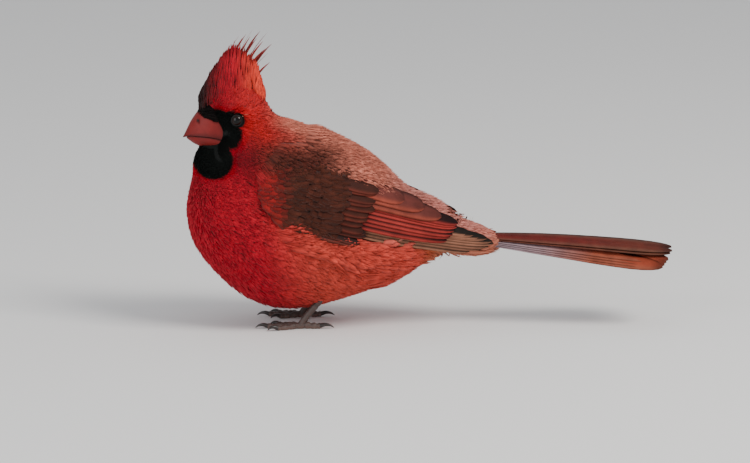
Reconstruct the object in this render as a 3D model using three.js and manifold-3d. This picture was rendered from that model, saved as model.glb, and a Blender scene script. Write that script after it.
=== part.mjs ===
// A male northern cardinal, life size, fluffed up against the cold and standing on its toes.
// Millimetres, +Z up. The bird faces -X, its left side is at -Y, and it stands on z = 0.
import * as THREE from "three";
import { mergeVertices } from "three/addons/utils/BufferGeometryUtils.js";
import Module from "manifold-3d";

// Driving dimensions, in millimetres and degrees.
const GAP = 0.3; // between neighbouring pieces
const BLEND = 2.4; // how far neighbouring body masses melt together

// The body is a blend of egg-shaped masses: centre x and z, half length, half width, half height,
// and how far the tail end of each tips down.
const BODY_MASSES = {
  breast: { x: -80.3, z: 49.5, long: 23.2, wide: 26.5, high: 27.5, tip: 0 },
  belly: { x: -61.8, z: 35, long: 31, wide: 30, high: 26.5, tip: 0 },
  mantle: { x: -63.5, z: 66.8, long: 23.2, wide: 23.5, high: 21.8, tip: 30 },
  lower_back: { x: -38.6, z: 57.2, long: 34, wide: 23.5, high: 19.2, tip: 35 },
  vent: { x: -35, z: 32, long: 43, wide: 24.5, high: 19, tip: -20 },
  rump: { x: 3.5, z: 40.2, long: 27.5, wide: 13.5, high: 7.5, tip: 10 },
  neck: { x: -79.4, z: 72, long: 18, wide: 18.8, high: 19.2, tip: 0 },
  skull: { x: -78.5, z: 88.2, long: 11.5, wide: 12, high: 13.1, tip: 0 },
  lores: { x: -86.5, z: 87, long: 6.5, wide: 5.6, high: 7.5, tip: 0 },
  chin: { x: -91, z: 70, long: 8.4, wide: 8, high: 6.2, tip: 0 },
  crown: { x: -85.5, z: 99.5, long: 10.5, wide: 5, high: 8.2, tip: -38 },
};

// Hollow of the cheeks beside the bill's base: centre, reach, and how strongly the width is drawn in.
const GAPE = { x: -90.5, z: 81, long: 6, high: 7.5, draw: 1.45 };

// Stations of the cross-sections from the tail root to the crown: centre, and how far the section's
// forward normal has turned up from level.
const STATIONS = [
  { x: 31, z: 36.5, turn: 8 },
  { x: 22, z: 38, turn: 8 },
  { x: 0, z: 41, turn: 8 },
  { x: -25, z: 44, turn: 8 },
  { x: -48, z: 48, turn: 14 },
  { x: -64, z: 54, turn: 28 },
  { x: -76, z: 66, turn: 48 },
  { x: -82, z: 80, turn: 58 },
  { x: -84.5, z: 90, turn: 82 },
  { x: -84.5, z: 96, turn: 90 },
  { x: -83.5, z: 106, turn: 90 },
];
const TAIL_CUT = 1; // station at which the tail meets the torso
const NECK_CUT = 6; // torso and neck
const HEAD_CUT = 7; // neck and head
const CREST_CUT = 9; // head and crest
const RINGS_PER_STATION = 4;
const SIDES = 28;

const EYE = { x: -81.5, z: 90, radius: 3, socket: 3.3, sunk: 1.5, lid: 0.6 };

const BILL = {
  tip: { x: -105, z: 80.8 },
  root_x: -86,
  mouth_z: 81.9,
  gape_drop: 2.2,
  upper_depth: 13,
  upper_root_x: -92,
  lower_depth: 5,
  half_width: 6.2,
  nostril: { x: -98.3, y: 4.1, z: 88.6, radius: 0.65 },
};

const LEG = {
  foot_x: -54.5,
  foot_y: 13,
  ankle_back: 9,
  ankle_in: 1.5,
  ankle_z: 13,
  shank_radius: 1.35,
  cut_z: 4,
};
// Toes: length to the claw, claw length, direction from straight ahead (outwards positive), radius.
const TOES = {
  inner: { long: 10.5, claw: 4.6, aim: -24, radius: 1.35 },
  middle: { long: 14.5, claw: 5.4, aim: 3, radius: 1.45 },
  outer: { long: 11.5, claw: 4.6, aim: 27, radius: 1.35 },
  hind: { long: 8.5, claw: 6.4, aim: 176, radius: 1.5 },
};

// Every vane: how far along it each cross-section lies, and its share there of the full width.
const LONG_OUTLINE = [[0, 0.5], [0.35, 0.9], [0.72, 1], [0.92, 0.8], [1, 0.22]];
const SHORT_OUTLINE = [[0, 0.6], [0.45, 1], [0.88, 0.85], [1, 0.25]];
const VANE_THICKNESS = 0.6;

// The flight feathers lie on the body and on one more mass, which bridges the hollow above the rump.
const SHEET_MASS = { x: -20, z: 45, long: 56, wide: 17, high: 15, tip: 12 };

// The wing's pad of small coverts: its wrist and rear end in the side view, half width and thickness.
const PAD = { front: { x: -70, z: 63 }, back: { x: -31, z: 53 }, half_width: 14.5, level: 1.6, inside: 0.1 };

// Tiers of wing feathers, each from its uppermost feather to its lowest: where the roots and tips lie
// in the side view, how far the middle tips reach beyond the line of tips, half width, and height of
// the tier above the body.
const WING_TIERS = {
  primaries: {
    count: 6, root: [{ x: -32, z: 54 }, { x: -39, z: 46 }], tip: [{ x: 17, z: 42 }, { x: 18, z: 34 }],
    bulge: 10, half_width: 1.9, level: 0.9, outline: LONG_OUTLINE,
  },
  secondaries: {
    count: 5, root: [{ x: -34, z: 60 }, { x: -40, z: 48 }], tip: [{ x: 12, z: 46.5 }, { x: 6, z: 37 }],
    bulge: 1, half_width: 2.4, level: 2.1, outline: LONG_OUTLINE,
  },
  tertials: {
    count: 3, root: [{ x: -38, z: 69 }, { x: -38, z: 62 }], tip: [{ x: -9, z: 58.5 }, { x: 7, z: 49.5 }],
    bulge: 0, half_width: 3.1, level: 3, outline: LONG_OUTLINE,
  },
  primary_coverts: {
    count: 3, root: [{ x: -49, z: 49 }, { x: -52, z: 45 }], tip: [{ x: -27, z: 42.5 }, { x: -30, z: 38.5 }],
    bulge: 0, half_width: 1.9, level: 2.1, outline: SHORT_OUTLINE,
  },
  greater_coverts: {
    count: 6, root: [{ x: -46, z: 70 }, { x: -50, z: 51 }], tip: [{ x: -24, z: 62.5 }, { x: -31, z: 45 }],
    bulge: 0, half_width: 2.5, level: 3, outline: SHORT_OUTLINE,
  },
};
const WING_ROOT_LEVEL = 0.45; // share of a feather's height above the body that it has at its root
const WING_SHINGLE = 0.16; // rise of each wing feather from its upper edge to its lower, per mm
const WING_STEP = 0.06; // how much lower each next feather of a tier lies

// Tail: twelve feathers, the middle pair on top. The left side's outer four have slipped down.
const TAIL = {
  pairs: 6,
  root: { x: 23.2, y: 0.8, z: 38.4 },
  root_spread: 0.55,
  tip: { x: 105, y: 2.2, z: 32.2 },
  tip_spread: 1.75,
  shorter: 0.9,
  sag: 0.7,
  step: 0.42,
  half_width: 5.2,
  roll: 2.2,
  tilt: 12, // the whole tail about its middle line, its right edge up
  slipped: { from: 2, drop: 1.2, outward: 1, roll: 10 },
};

// Crest: rows of feathers from the forehead to the nape. For each, root and tip in the side view.
const CREST_ROOTS = [[-97, 97.4], [-92, 98.4], [-87, 99.4], [-81, 99.4], [-75, 98.6], [-70.5, 97.2]];
const CREST_TIPS = [[-96, 103.4], [-89, 114.4], [-80.6, 124.6], [-74.3, 127.5], [-67.6, 123], [-68.4, 103]];
const CREST_ROWS = [
  { count: 8, y: 0, tip_y: 0, turn: 0 },
  { count: 8, y: 2.6, tip_y: 0.9, turn: 12 },
  { count: 6, y: 4.4, tip_y: 2, turn: 24 },
];
const CREST_HALF_WIDTH = 2.1;
const CREST_SEED = 7;

const wasm = await Module();
wasm.setup();
const radians = THREE.MathUtils.degToRad;
const point = (x, y, z) => new THREE.Vector3(x, y, z);

// Field of a blend of masses: below zero inside, about the distance in millimetres outside.
function fieldOf(list) {
  const masses = list.map((m) => ({
    ...m,
    cos: Math.cos(radians(-m.tip)),
    sin: Math.sin(radians(-m.tip)),
  }));
  return (x, y, z) => {
    const hollow = ((x - GAPE.x) / GAPE.long) ** 2 + ((z - GAPE.z) / GAPE.high) ** 2;
    const drawn = y * (1 + GAPE.draw * Math.exp(-hollow));
    let sum = 0;
    for (const m of masses) {
      const dx = x - m.x;
      const dz = z - m.z;
      const along = (dx * m.cos + dz * m.sin) / m.long;
      const up = (dz * m.cos - dx * m.sin) / m.high;
      const side = drawn / m.wide;
      const reach = Math.hypot(along, side, up) + 1e-9;
      const slope = Math.hypot(along / m.long, side / m.wide, up / m.high) + 1e-9;
      sum += Math.exp((-reach * (reach - 1)) / slope / BLEND);
    }
    return -BLEND * Math.log(sum);
  };
}
const bodyField = fieldOf(Object.values(BODY_MASSES));
const wingField = fieldOf([...Object.values(BODY_MASSES), SHEET_MASS]);

// Distance from an inner point along a direction to where a field reaches a level.
function reachOf(from, way, level, field = bodyField) {
  const step = 2;
  const at = (r) => field(from.x + way.x * r, from.y + way.y * r, from.z + way.z * r) - level;
  let far = step;
  while (at(far) < 0 && far < 90) far += step;
  let near = far - step;
  for (let i = 0; i < 22; i++) {
    const middle = (near + far) / 2;
    if (at(middle) < 0) near = middle;
    else far = middle;
  }
  return far;
}

// A closed surface through rings of equal count, with a fan at each end. The second half of a ring is
// split the other way, so that a ring that starts at the top gives a surface with two like sides.
function closedLoft(rings) {
  const count = rings[0].length;
  const points = rings.flat();
  const faces = [];
  for (let i = 0; i + 1 < rings.length; i++) {
    for (let j = 0; j < count; j++) {
      const a = i * count + j;
      const b = i * count + ((j + 1) % count);
      if (j < count / 2) faces.push([a, b, b + count], [a, b + count, a + count]);
      else faces.push([a, b, a + count], [b, b + count, a + count]);
    }
  }
  for (const [ring, start, turned] of [
    [rings[0], 0, true],
    [rings.at(-1), (rings.length - 1) * count, false],
  ]) {
    const middle = ring.reduce((s, p) => s.add(p), point(0, 0, 0)).divideScalar(count);
    const hub = points.push(middle) - 1;
    for (let j = 0; j < count; j++) {
      const a = start + j;
      const b = start + ((j + 1) % count);
      faces.push(turned ? [b, a, hub] : [a, b, hub]);
    }
  }
  return solidFrom(points, faces);
}

// A manifold solid from points and triangles, turned right way out.
function solidFrom(points, faces) {
  const volume = faces.reduce((sum, [a, b, c]) => {
    const p = points[a];
    return sum + p.dot(points[b].clone().cross(points[c]));
  }, 0);
  const order = volume < 0 ? faces.map(([a, b, c]) => [a, c, b]) : faces;
  const geometry = new THREE.BufferGeometry().setFromPoints(points);
  geometry.setIndex(order.flat());
  return solidOf(geometry);
}

function solidOf(geometry) {
  const bare = new THREE.BufferGeometry()
    .setAttribute("position", geometry.getAttribute("position"))
    .setIndex(geometry.index);
  const merged = mergeVertices(bare, 1e-4);
  return new wasm.Manifold(
    new wasm.Mesh({
      numProp: 3,
      vertProperties: new Float32Array(merged.attributes.position.array),
      triVerts: new Uint32Array(merged.index.array),
    }),
  );
}

// The largest closed surface of a solid, as three.js geometry.
function geometryOf(solid) {
  const largest = solid.decompose().sort((a, b) => b.volume() - a.volume())[0];
  const mesh = largest.getMesh();
  const geometry = new THREE.BufferGeometry().setAttribute(
    "position",
    new THREE.BufferAttribute(new Float32Array(mesh.vertProperties), 3),
  );
  geometry.setIndex(new THREE.BufferAttribute(new Uint32Array(mesh.triVerts), 1));
  geometry.computeVertexNormals();
  return geometry;
}

// The station at any place along the body, by a smooth curve through the named ones.
const spine = new THREE.CatmullRomCurve3(
  STATIONS.map((s) => point(s.x, s.turn, s.z)),
  false,
  "centripetal",
);
function stationAt(place) {
  const p = spine.getPoint(place / (STATIONS.length - 1));
  const turn = radians(p.y);
  return {
    centre: point(p.x, 0, p.z),
    forward: point(-Math.cos(turn), 0, Math.sin(turn)),
    upward: point(Math.sin(turn), 0, Math.cos(turn)),
  };
}

// One cross-section of the body where the field has a given level.
function bodyRing(place, shift, level) {
  const { centre, forward, upward } = stationAt(place);
  const from = centre.clone().addScaledVector(forward, shift);
  return Array.from({ length: SIDES }, (_, k) => {
    const angle = (2 * Math.PI * k) / SIDES;
    const way = upward.clone().multiplyScalar(Math.cos(angle));
    way.y = Math.sin(angle);
    return from.clone().addScaledVector(way, reachOf(from, way, level));
  });
}

// A length of the body between two places, with half a gap left at each end.
function bodyPart(start, end, level = 0, inset = GAP / 2) {
  const rings = [bodyRing(start, inset, level)];
  const steps = Math.max(1, Math.round((end - start) * RINGS_PER_STATION));
  for (let i = 1; i < steps; i++) rings.push(bodyRing(start + ((end - start) * i) / steps, 0, level));
  rings.push(bodyRing(end, -inset, level));
  return closedLoft(rings);
}

// A tube of changing radius along a path of points.
function tube(path, radiusAt, steps, sides = 8) {
  const curve = new THREE.CatmullRomCurve3(path, false, "centripetal");
  const level = point(0, 0, 1);
  const rings = Array.from({ length: steps + 1 }, (_, i) => {
    const t = i / steps;
    const along = curve.getTangentAt(t);
    const across = along.clone().cross(level).normalize();
    if (across.lengthSq() < 0.5) across.set(0, 1, 0);
    const over = across.clone().cross(along).normalize();
    const r = radiusAt(t);
    return Array.from({ length: sides }, (_, k) => {
      const angle = (2 * Math.PI * k) / sides;
      return curve
        .getPointAt(t)
        .addScaledVector(across, r * Math.cos(angle))
        .addScaledVector(over, r * Math.sin(angle));
    });
  });
  return closedLoft(rings);
}

// The same piece on the other side of the bird.
function mirrored(geometry) {
  const other = geometry.clone().scale(1, -1, 1);
  const corners = other.index.array;
  for (let i = 0; i < corners.length; i += 3) {
    [corners[i + 1], corners[i + 2]] = [corners[i + 2], corners[i + 1]];
  }
  other.computeVertexNormals();
  return other;
}

function boxSolid(low, high) {
  const size = high.clone().sub(low);
  const box = new THREE.BoxGeometry(size.x, size.y, size.z);
  box.translate((low.x + high.x) / 2, (low.y + high.y) / 2, (low.z + high.z) / 2);
  return solidOf(box);
}

function ball(centre, radius, detail = 2) {
  const geometry = new THREE.IcosahedronGeometry(radius, detail);
  geometry.translate(centre.x, centre.y, centre.z);
  geometry.deleteAttribute("normal");
  geometry.deleteAttribute("uv");
  return solidOf(mergeVertices(geometry, 1e-4));
}

const lerp = THREE.MathUtils.lerp;

// Half the body's width at a place in its side view, or 0 off the body.
function halfWidthAt(x, z) {
  if (bodyField(x, 0, z) > 0) return 0;
  return reachOf(point(x, 0, z), point(0, 1, 0), 0);
}

const bodyWithGap = bodyPart(0, STATIONS.length - 1, GAP, 0);

// Head: skull and face of one piece, with a raised lid round each eye.
function eyeCentre(side) {
  const wide = halfWidthAt(EYE.x, EYE.z);
  return point(EYE.x, side * (wide - EYE.sunk), EYE.z);
}

function headSolid() {
  let head = bodyPart(HEAD_CUT, CREST_CUT);
  for (const side of [-1, 1]) {
    const centre = eyeCentre(side);
    const ring = new THREE.TorusGeometry(EYE.radius, EYE.lid, 6, 18);
    ring.rotateX(Math.PI / 2);
    ring.translate(centre.x, centre.y + side * (EYE.sunk - 0.3), centre.z);
    ring.deleteAttribute("normal");
    ring.deleteAttribute("uv");
    head = head.add(solidOf(mergeVertices(ring, 1e-4))).subtract(ball(centre, EYE.socket));
  }
  return head;
}

// Bill: a deep cone in two halves that meet along the mouth line, which drops at the gape.
function mouthZ(x) {
  const inward = Math.max(0, (x + 97) / 11);
  const t = THREE.MathUtils.clamp((x - BILL.tip.x) / 3, 0, 1);
  return lerp(BILL.tip.z, BILL.mouth_z, t) - BILL.gape_drop * inward * inward;
}

function billHalf(upper) {
  const steps = 10;
  const end = upper ? BILL.tip.x : BILL.tip.x + 1.6;
  const rings = [];
  for (let i = 0; i <= steps; i++) {
    const x = lerp(BILL.root_x, end, Math.pow(i / steps, 0.8));
    const r = THREE.MathUtils.clamp((x - BILL.upper_root_x) / (end - BILL.upper_root_x), 0, 0.995);
    const wide = BILL.half_width * Math.pow(1 - Math.pow(r, 1.8), 0.75) + 0.25;
    const base = mouthZ(x) + (upper ? GAP / 2 : -GAP / 2);
    const high = upper
      ? BILL.upper_depth * Math.pow(1 - Math.pow(r, 2.4), 1.25) + 0.35
      : BILL.lower_depth * Math.pow(1 - Math.pow(r, 2.2), 0.7) + 0.3;
    const arch = 9;
    const ring = Array.from({ length: arch }, (_, k) => {
      const angle = (Math.PI * k) / (arch - 1);
      const narrow = Math.pow(Math.sin(angle), upper ? 0.8 : 0.9);
      return point(x, wide * Math.cos(angle), base + (upper ? high : -high) * narrow);
    });
    rings.push(ring);
  }
  let half = closedLoft(rings).subtract(bodyWithGap);
  if (upper) {
    for (const side of [-1, 1]) {
      const n = BILL.nostril;
      half = half.subtract(ball(point(n.x, side * n.y, n.z), n.radius, 1));
    }
  }
  return half;
}

// Left leg: the shank comes down out of the belly to a foot with three toes forward and one back.
const footBase = point(LEG.foot_x, -LEG.foot_y, 0);
const shankPath = [
  footBase.clone().setZ(2),
  point(footBase.x + LEG.ankle_back * 0.35, footBase.y + LEG.ankle_in * 0.4, 6),
  point(footBase.x + LEG.ankle_back, footBase.y + LEG.ankle_in, LEG.ankle_z),
];

function shankSolid() {
  const floor = boxSolid(point(-90, -40, -5), point(-20, 40, LEG.cut_z + GAP / 2));
  return tube(shankPath, () => LEG.shank_radius, 5)
    .subtract(floor)
    .subtract(bodyWithGap);
}

function toeWay(toe) {
  const aim = radians(toe.aim);
  return point(-Math.cos(aim), -Math.sin(aim), 0);
}

function toePath(toe) {
  const way = toeWay(toe);
  const samples = 5;
  return Array.from({ length: samples }, (_, i) => {
    const t = i / (samples - 1);
    const knuckle = 0.35 * Math.sin(Math.PI * 2.2 * t);
    return footBase
      .clone()
      .addScaledVector(way, toe.long * t)
      .setZ(toe.radius * 0.82 + knuckle * (1 - t));
  });
}

function toeRadius(toe, t) {
  const pads = 0.14 * Math.cos(Math.PI * 6 * t);
  return toe.radius * (1.02 - 0.18 * t + pads);
}

function footSolid() {
  let foot = tube(shankPath, (t) => LEG.shank_radius * (1.15 - 0.1 * t), 5);
  for (const toe of Object.values(TOES)) {
    foot = foot.add(tube(toePath(toe), (t) => toeRadius(toe, t), 6));
  }
  const floor = boxSolid(point(-95, -40, -9), point(-20, 40, 0));
  const above = boxSolid(point(-95, -40, LEG.cut_z - GAP / 2), point(-20, 40, 40));
  return foot.subtract(floor).subtract(above);
}

function clawSolid(toe) {
  const way = toeWay(toe);
  const start = toe.long + GAP;
  const root = toe.radius * 0.82;
  const lift = 0.75;
  const path = [0, 0.35, 0.7, 1].map((t) =>
    footBase
      .clone()
      .addScaledVector(way, start + toe.claw * (t - 0.12 * t * t))
      .setZ(root * (1 - t * t) + lift * Math.sin(Math.PI * 0.9 * t) + 0.35 * t),
  );
  return tube(path, (t) => 0.95 * Math.pow(1 - t, 0.8) + 0.16, 5, 6);
}

// Direction in which the wing's field grows, at a point.
function wingNormal(p) {
  const d = 0.3;
  return point(
    wingField(p.x + d, p.y, p.z) - wingField(p.x - d, p.y, p.z),
    wingField(p.x, p.y + d, p.z) - wingField(p.x, p.y - d, p.z),
    wingField(p.x, p.y, p.z + d) - wingField(p.x, p.y, p.z - d),
  ).normalize();
}

// Moves a point out or in until the wing's field has a level there.
function settle(p, level) {
  const q = p.clone();
  for (let i = 0; i < 5; i++) q.addScaledVector(wingNormal(q), level - wingField(q.x, q.y, q.z));
  return q;
}

// The left side's point over a place in the side view, at a level above the wing's sheet.
function wingSeat(x, z, level) {
  const reach = reachOf(point(x, 0, z), point(0, -1, 0), level, wingField);
  return settle(point(x, -reach, z), level);
}

// A closed plate through rows of points, thickened along their normals and split alike on both faces.
function plate(rows, normals, thicknessAt) {
  const across = rows[0].length;
  const last = rows.length - 1;
  const face = (sign) =>
    rows.flatMap((row, i) =>
      row.map((p, j) => p.clone().addScaledVector(normals[i][j], (sign * thicknessAt(i / last)) / 2)),
    );
  const points = [...face(1), ...face(-1)];
  const under = rows.length * across;
  const faces = [];
  const wall = (a, b) => faces.push([a, b + under, b], [a, a + under, b + under]);
  for (let i = 0; i < last; i++) {
    for (let j = 0; j + 1 < across; j++) {
      const a = i * across + j;
      const c = a + across + 1;
      faces.push([a, a + 1, c], [a, c, c - 1]);
      faces.push([a + under, c + under, a + 1 + under], [a + under, c - 1 + under, c + under]);
    }
    wall((i + 1) * across, i * across);
    wall(i * across + across - 1, (i + 1) * across + across - 1);
  }
  for (let j = 0; j + 1 < across; j++) {
    wall(j, j + 1);
    wall(last * across + j + 1, last * across + j);
  }
  return solidFrom(points, faces);
}
const vaneThickness = (t) => VANE_THICKNESS * (1 - 0.3 * t);

// One wing feather, lying on the sheet from root to tip, its lower edge raised over the next one.
function wingVane(root, tip, tier, level) {
  const levels = tier.outline.map(([t]) => lerp(WING_ROOT_LEVEL * level, level, Math.min(1, t / 0.35)));
  const seats = tier.outline.map(([t], i) =>
    wingSeat(lerp(root.x, tip.x, t), lerp(root.z, tip.z, t), levels[i]),
  );
  const rows = [];
  const normals = [];
  seats.forEach((seat, i) => {
    const along = seats[Math.min(i + 1, seats.length - 1)].clone().sub(seats[Math.max(i - 1, 0)]);
    const down = along.cross(wingNormal(seat)).normalize();
    const half = tier.half_width * tier.outline[i][1];
    const row = [-half, half].map((v) =>
      settle(seat.clone().addScaledVector(down, v), levels[i] + WING_SHINGLE * v),
    );
    rows.push(row);
    normals.push(row.map(wingNormal));
  });
  return plate(rows, normals, vaneThickness);
}

// The wing's pad: the hand and forearm under their small feathers, thick in the middle.
function wingPad() {
  const steps = 9;
  const across = 6;
  const { front, back } = PAD;
  const way = point(back.x - front.x, 0, back.z - front.z);
  const down = point(way.z, 0, -way.x).normalize();
  const rings = [];
  for (let i = 0; i <= steps; i++) {
    const t = i / steps;
    const half = PAD.half_width * Math.sqrt(Math.sin(Math.PI * (0.03 + 0.82 * Math.pow(t, 0.8))));
    const centre = point(front.x, 0, front.z).addScaledVector(way, t);
    const outer = [];
    const inner = [];
    for (let k = 0; k <= across; k++) {
      const v = (2 * k) / across - 1;
      const p = centre.clone().addScaledVector(down, v * half);
      const crown = (1 - v * v) * Math.sqrt(Math.sin(Math.PI * (0.05 + 0.85 * t)));
      outer.push(wingSeat(p.x, p.z, 0.7 + PAD.level * crown));
      inner.unshift(wingSeat(p.x, p.z, PAD.inside));
    }
    rings.push([...outer, ...inner]);
  }
  return closedLoft(rings);
}

function wingSolid() {
  let wing = wingPad();
  for (const tier of Object.values(WING_TIERS)) {
    for (let k = 0; k < tier.count; k++) {
      const s = k / (tier.count - 1);
      const [top, bottom] = tier.root;
      const [upper, lower] = tier.tip;
      const root = { x: lerp(top.x, bottom.x, s), z: lerp(top.z, bottom.z, s) };
      const reach = tier.bulge * Math.sin(Math.PI * Math.pow(s, 1.3));
      const tip = { x: lerp(upper.x, lower.x, s) + reach, z: lerp(upper.z, lower.z, s) };
      wing = wing.add(wingVane(root, tip, tier, tier.level - WING_STEP * k));
    }
  }
  return wing.subtract(bodyWithGap);
}

const lengthways = point(1, 0, 0);

// A place on the tail, turned with the tail's tilt about its middle line.
function tiltedTail(p) {
  const pivot = point(0, 0, (TAIL.root.z + TAIL.tip.z) / 2);
  return p.sub(pivot).applyAxisAngle(lengthways, radians(TAIL.tilt)).add(pivot);
}

// One tail feather of a side, counted outwards from the middle pair.
function tailVane(side, k) {
  const slip = side < 0 && k >= TAIL.slipped.from ? TAIL.slipped : { drop: 0, outward: 0, roll: 0 };
  const root = point(
    TAIL.root.x,
    side * (TAIL.root.y + TAIL.root_spread * k),
    TAIL.root.z - TAIL.step * k,
  );
  const tip = point(
    TAIL.tip.x - TAIL.shorter * k,
    side * (TAIL.tip.y + TAIL.tip_spread * k + slip.outward),
    TAIL.tip.z - TAIL.step * k - slip.drop,
  );
  const rows = [];
  const normals = [];
  for (const [t, share] of LONG_OUTLINE) {
    const turn = radians((TAIL.roll * k + slip.roll) * Math.min(1, t * 1.6));
    const out = point(0, side * Math.cos(turn), -Math.sin(turn));
    const up = point(0, side * Math.sin(turn), Math.cos(turn));
    const rachis = root.clone().lerp(tip, t);
    rachis.z += TAIL.sag * Math.sin(Math.PI * t);
    const half = TAIL.half_width * share;
    const tilted = up.clone().applyAxisAngle(lengthways, radians(TAIL.tilt));
    rows.push([-half, half].map((v) => tiltedTail(rachis.clone().addScaledVector(out, v))));
    normals.push([tilted, tilted]);
  }
  return plate(rows, normals, vaneThickness);
}

function tailSolid() {
  let tail = bodyPart(0, TAIL_CUT);
  for (const side of [-1, 1]) {
    for (let k = 0; k < TAIL.pairs; k++) tail = tail.add(tailVane(side, k));
  }
  return tail;
}

// A place on a polyline of pairs, by share of its count.
function along2(pairs, share) {
  const at = share * (pairs.length - 1);
  const i = Math.min(Math.floor(at), pairs.length - 2);
  return [0, 1].map((n) => lerp(pairs[i][n], pairs[i + 1][n], at - i));
}

let seed = CREST_SEED;
function random() {
  seed = (seed * 16807) % 2147483647;
  return seed / 2147483647;
}

// One crest feather: rises from the crown, bends back and narrows to its tip.
function crestVane(share, y, tipY, turn) {
  const [rootX, rootZ] = along2(CREST_ROOTS, share);
  const [tipX, tipZ] = along2(CREST_TIPS, share);
  const short = 0.9 + 0.1 * random();
  const root = point(rootX, y, rootZ);
  const tip = point(lerp(rootX, tipX, short), tipY, lerp(rootZ, tipZ, short));
  const middle = root.clone().lerp(tip, 0.5).add(point(-0.07 * (tip.z - root.z), y * 0.25, 0.8));
  const rachis = new THREE.QuadraticBezierCurve3(root, middle, tip);
  const sway = radians(turn * Math.sign(y) + 10 * (random() - 0.5));
  const rows = [];
  const normals = [];
  for (const t of [0, 0.35, 0.7, 1]) {
    const way = rachis.getTangent(t);
    const flat = point(Math.sin(sway), Math.cos(sway), 0);
    const across = way.clone().cross(flat).normalize();
    const normal = across.clone().cross(way).normalize();
    const half = CREST_HALF_WIDTH * (0.55 + 1.1 * t - 1.5 * t * t) + 0.05;
    rows.push([-half, half].map((v) => rachis.getPoint(t).addScaledVector(across, v)));
    normals.push([normal, normal]);
  }
  return plate(rows, normals, (t) => VANE_THICKNESS * (1.1 - 0.6 * t));
}

function crestSolid() {
  let crest = bodyPart(CREST_CUT, STATIONS.length - 1);
  for (const row of CREST_ROWS) {
    for (let k = 0; k < row.count; k++) {
      const share = (k + (row.y === 0 ? 0.5 : 0.25 + 0.5 * random())) / row.count;
      const reach = Math.sin(Math.PI * (0.12 + 0.76 * share));
      for (const side of row.y === 0 ? [1] : [-1, 1]) {
        crest = crest.add(crestVane(share, side * row.y * reach, side * row.tip_y, row.turn));
      }
    }
  }
  return crest;
}

const COLOURS = {
  plumage_red: { color: 0xb3242a, roughness: 0.85 },
  crest_red: { color: 0xc8202a, roughness: 0.85 },
  wing_red_brown: { color: 0x7a3a32, roughness: 0.8 },
  tail_red_brown: { color: 0x8a3a30, roughness: 0.8 },
  bill_coral: { color: 0xc2504a, roughness: 0.45 },
  eye_dark: { color: 0x160f0d, roughness: 0.05 },
  leg_brown: { color: 0x5b4440, roughness: 0.6 },
  claw_dark: { color: 0x2e2524, roughness: 0.4 },
};

const bird = new THREE.Group();
function place(name, geometry, finish) {
  const material = new THREE.MeshStandardMaterial({ ...COLOURS[finish], metalness: 0 });
  const mesh = new THREE.Mesh(geometry, material);
  mesh.name = name;
  bird.add(mesh);
}

place("torso", geometryOf(bodyPart(TAIL_CUT, NECK_CUT)), "plumage_red");
place("neck", geometryOf(bodyPart(NECK_CUT, HEAD_CUT)), "plumage_red");
place("head", geometryOf(headSolid()), "plumage_red");
place("crest", geometryOf(crestSolid()), "crest_red");
place("bill_upper", geometryOf(billHalf(true)), "bill_coral");
place("bill_lower", geometryOf(billHalf(false)), "bill_coral");
place("tail", geometryOf(tailSolid()), "tail_red_brown");

// What the bird has on both sides, made once for the left.
const paired = {
  wing: [geometryOf(wingSolid()), "wing_red_brown"],
  eye: [geometryOf(ball(eyeCentre(-1), EYE.radius, 2)), "eye_dark"],
  leg: [geometryOf(shankSolid()), "leg_brown"],
  foot: [geometryOf(footSolid()), "leg_brown"],
};
for (const [name, toe] of Object.entries(TOES)) paired[`claw_${name}`] = [geometryOf(clawSolid(toe)), "claw_dark"];
for (const [name, [geometry, finish]] of Object.entries(paired)) {
  place(`${name}_left`, geometry, finish);
  place(`${name}_right`, mirrored(geometry), finish);
}

// The frame's origin is on the floor under the middle of the bird's box.
const box = new THREE.Box3().setFromObject(bird, true);
bird.position.set(-(box.min.x + box.max.x) / 2, -(box.min.y + box.max.y) / 2, -box.min.z);

export default bird;
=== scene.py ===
# A male northern cardinal, life size, fluffed up against the cold and standing on its toes.
# The bird faces -X, its left side is at -Y. Shapes are worked out in millimetres and made in metres.
import math

import bpy
import numpy as np
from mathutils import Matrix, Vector


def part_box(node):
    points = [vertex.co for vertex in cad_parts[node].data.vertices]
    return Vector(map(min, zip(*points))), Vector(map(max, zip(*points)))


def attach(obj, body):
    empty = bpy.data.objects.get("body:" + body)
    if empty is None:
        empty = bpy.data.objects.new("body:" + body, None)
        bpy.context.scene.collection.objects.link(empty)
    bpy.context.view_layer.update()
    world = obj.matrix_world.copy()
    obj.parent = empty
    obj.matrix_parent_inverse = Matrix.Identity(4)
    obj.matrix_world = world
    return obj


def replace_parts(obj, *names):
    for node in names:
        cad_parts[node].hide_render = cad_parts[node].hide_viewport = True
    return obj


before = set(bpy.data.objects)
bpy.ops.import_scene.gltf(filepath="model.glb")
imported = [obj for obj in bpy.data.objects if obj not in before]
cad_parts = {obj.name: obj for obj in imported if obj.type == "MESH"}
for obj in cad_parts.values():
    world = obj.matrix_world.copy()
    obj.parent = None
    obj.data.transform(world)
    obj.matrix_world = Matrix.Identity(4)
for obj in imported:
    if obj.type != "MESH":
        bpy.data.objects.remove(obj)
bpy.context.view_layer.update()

# Camera: level with the bird's left side, a little above it, from far enough off that it looks flat.
VIEW_HEIGHT_DEG = 10.0
VIEW_DISTANCE = 2.0
VIEW_WIDTH = 0.3225
VIEW_CENTRE = (-0.0227, 0.0, 0.0399)

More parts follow.
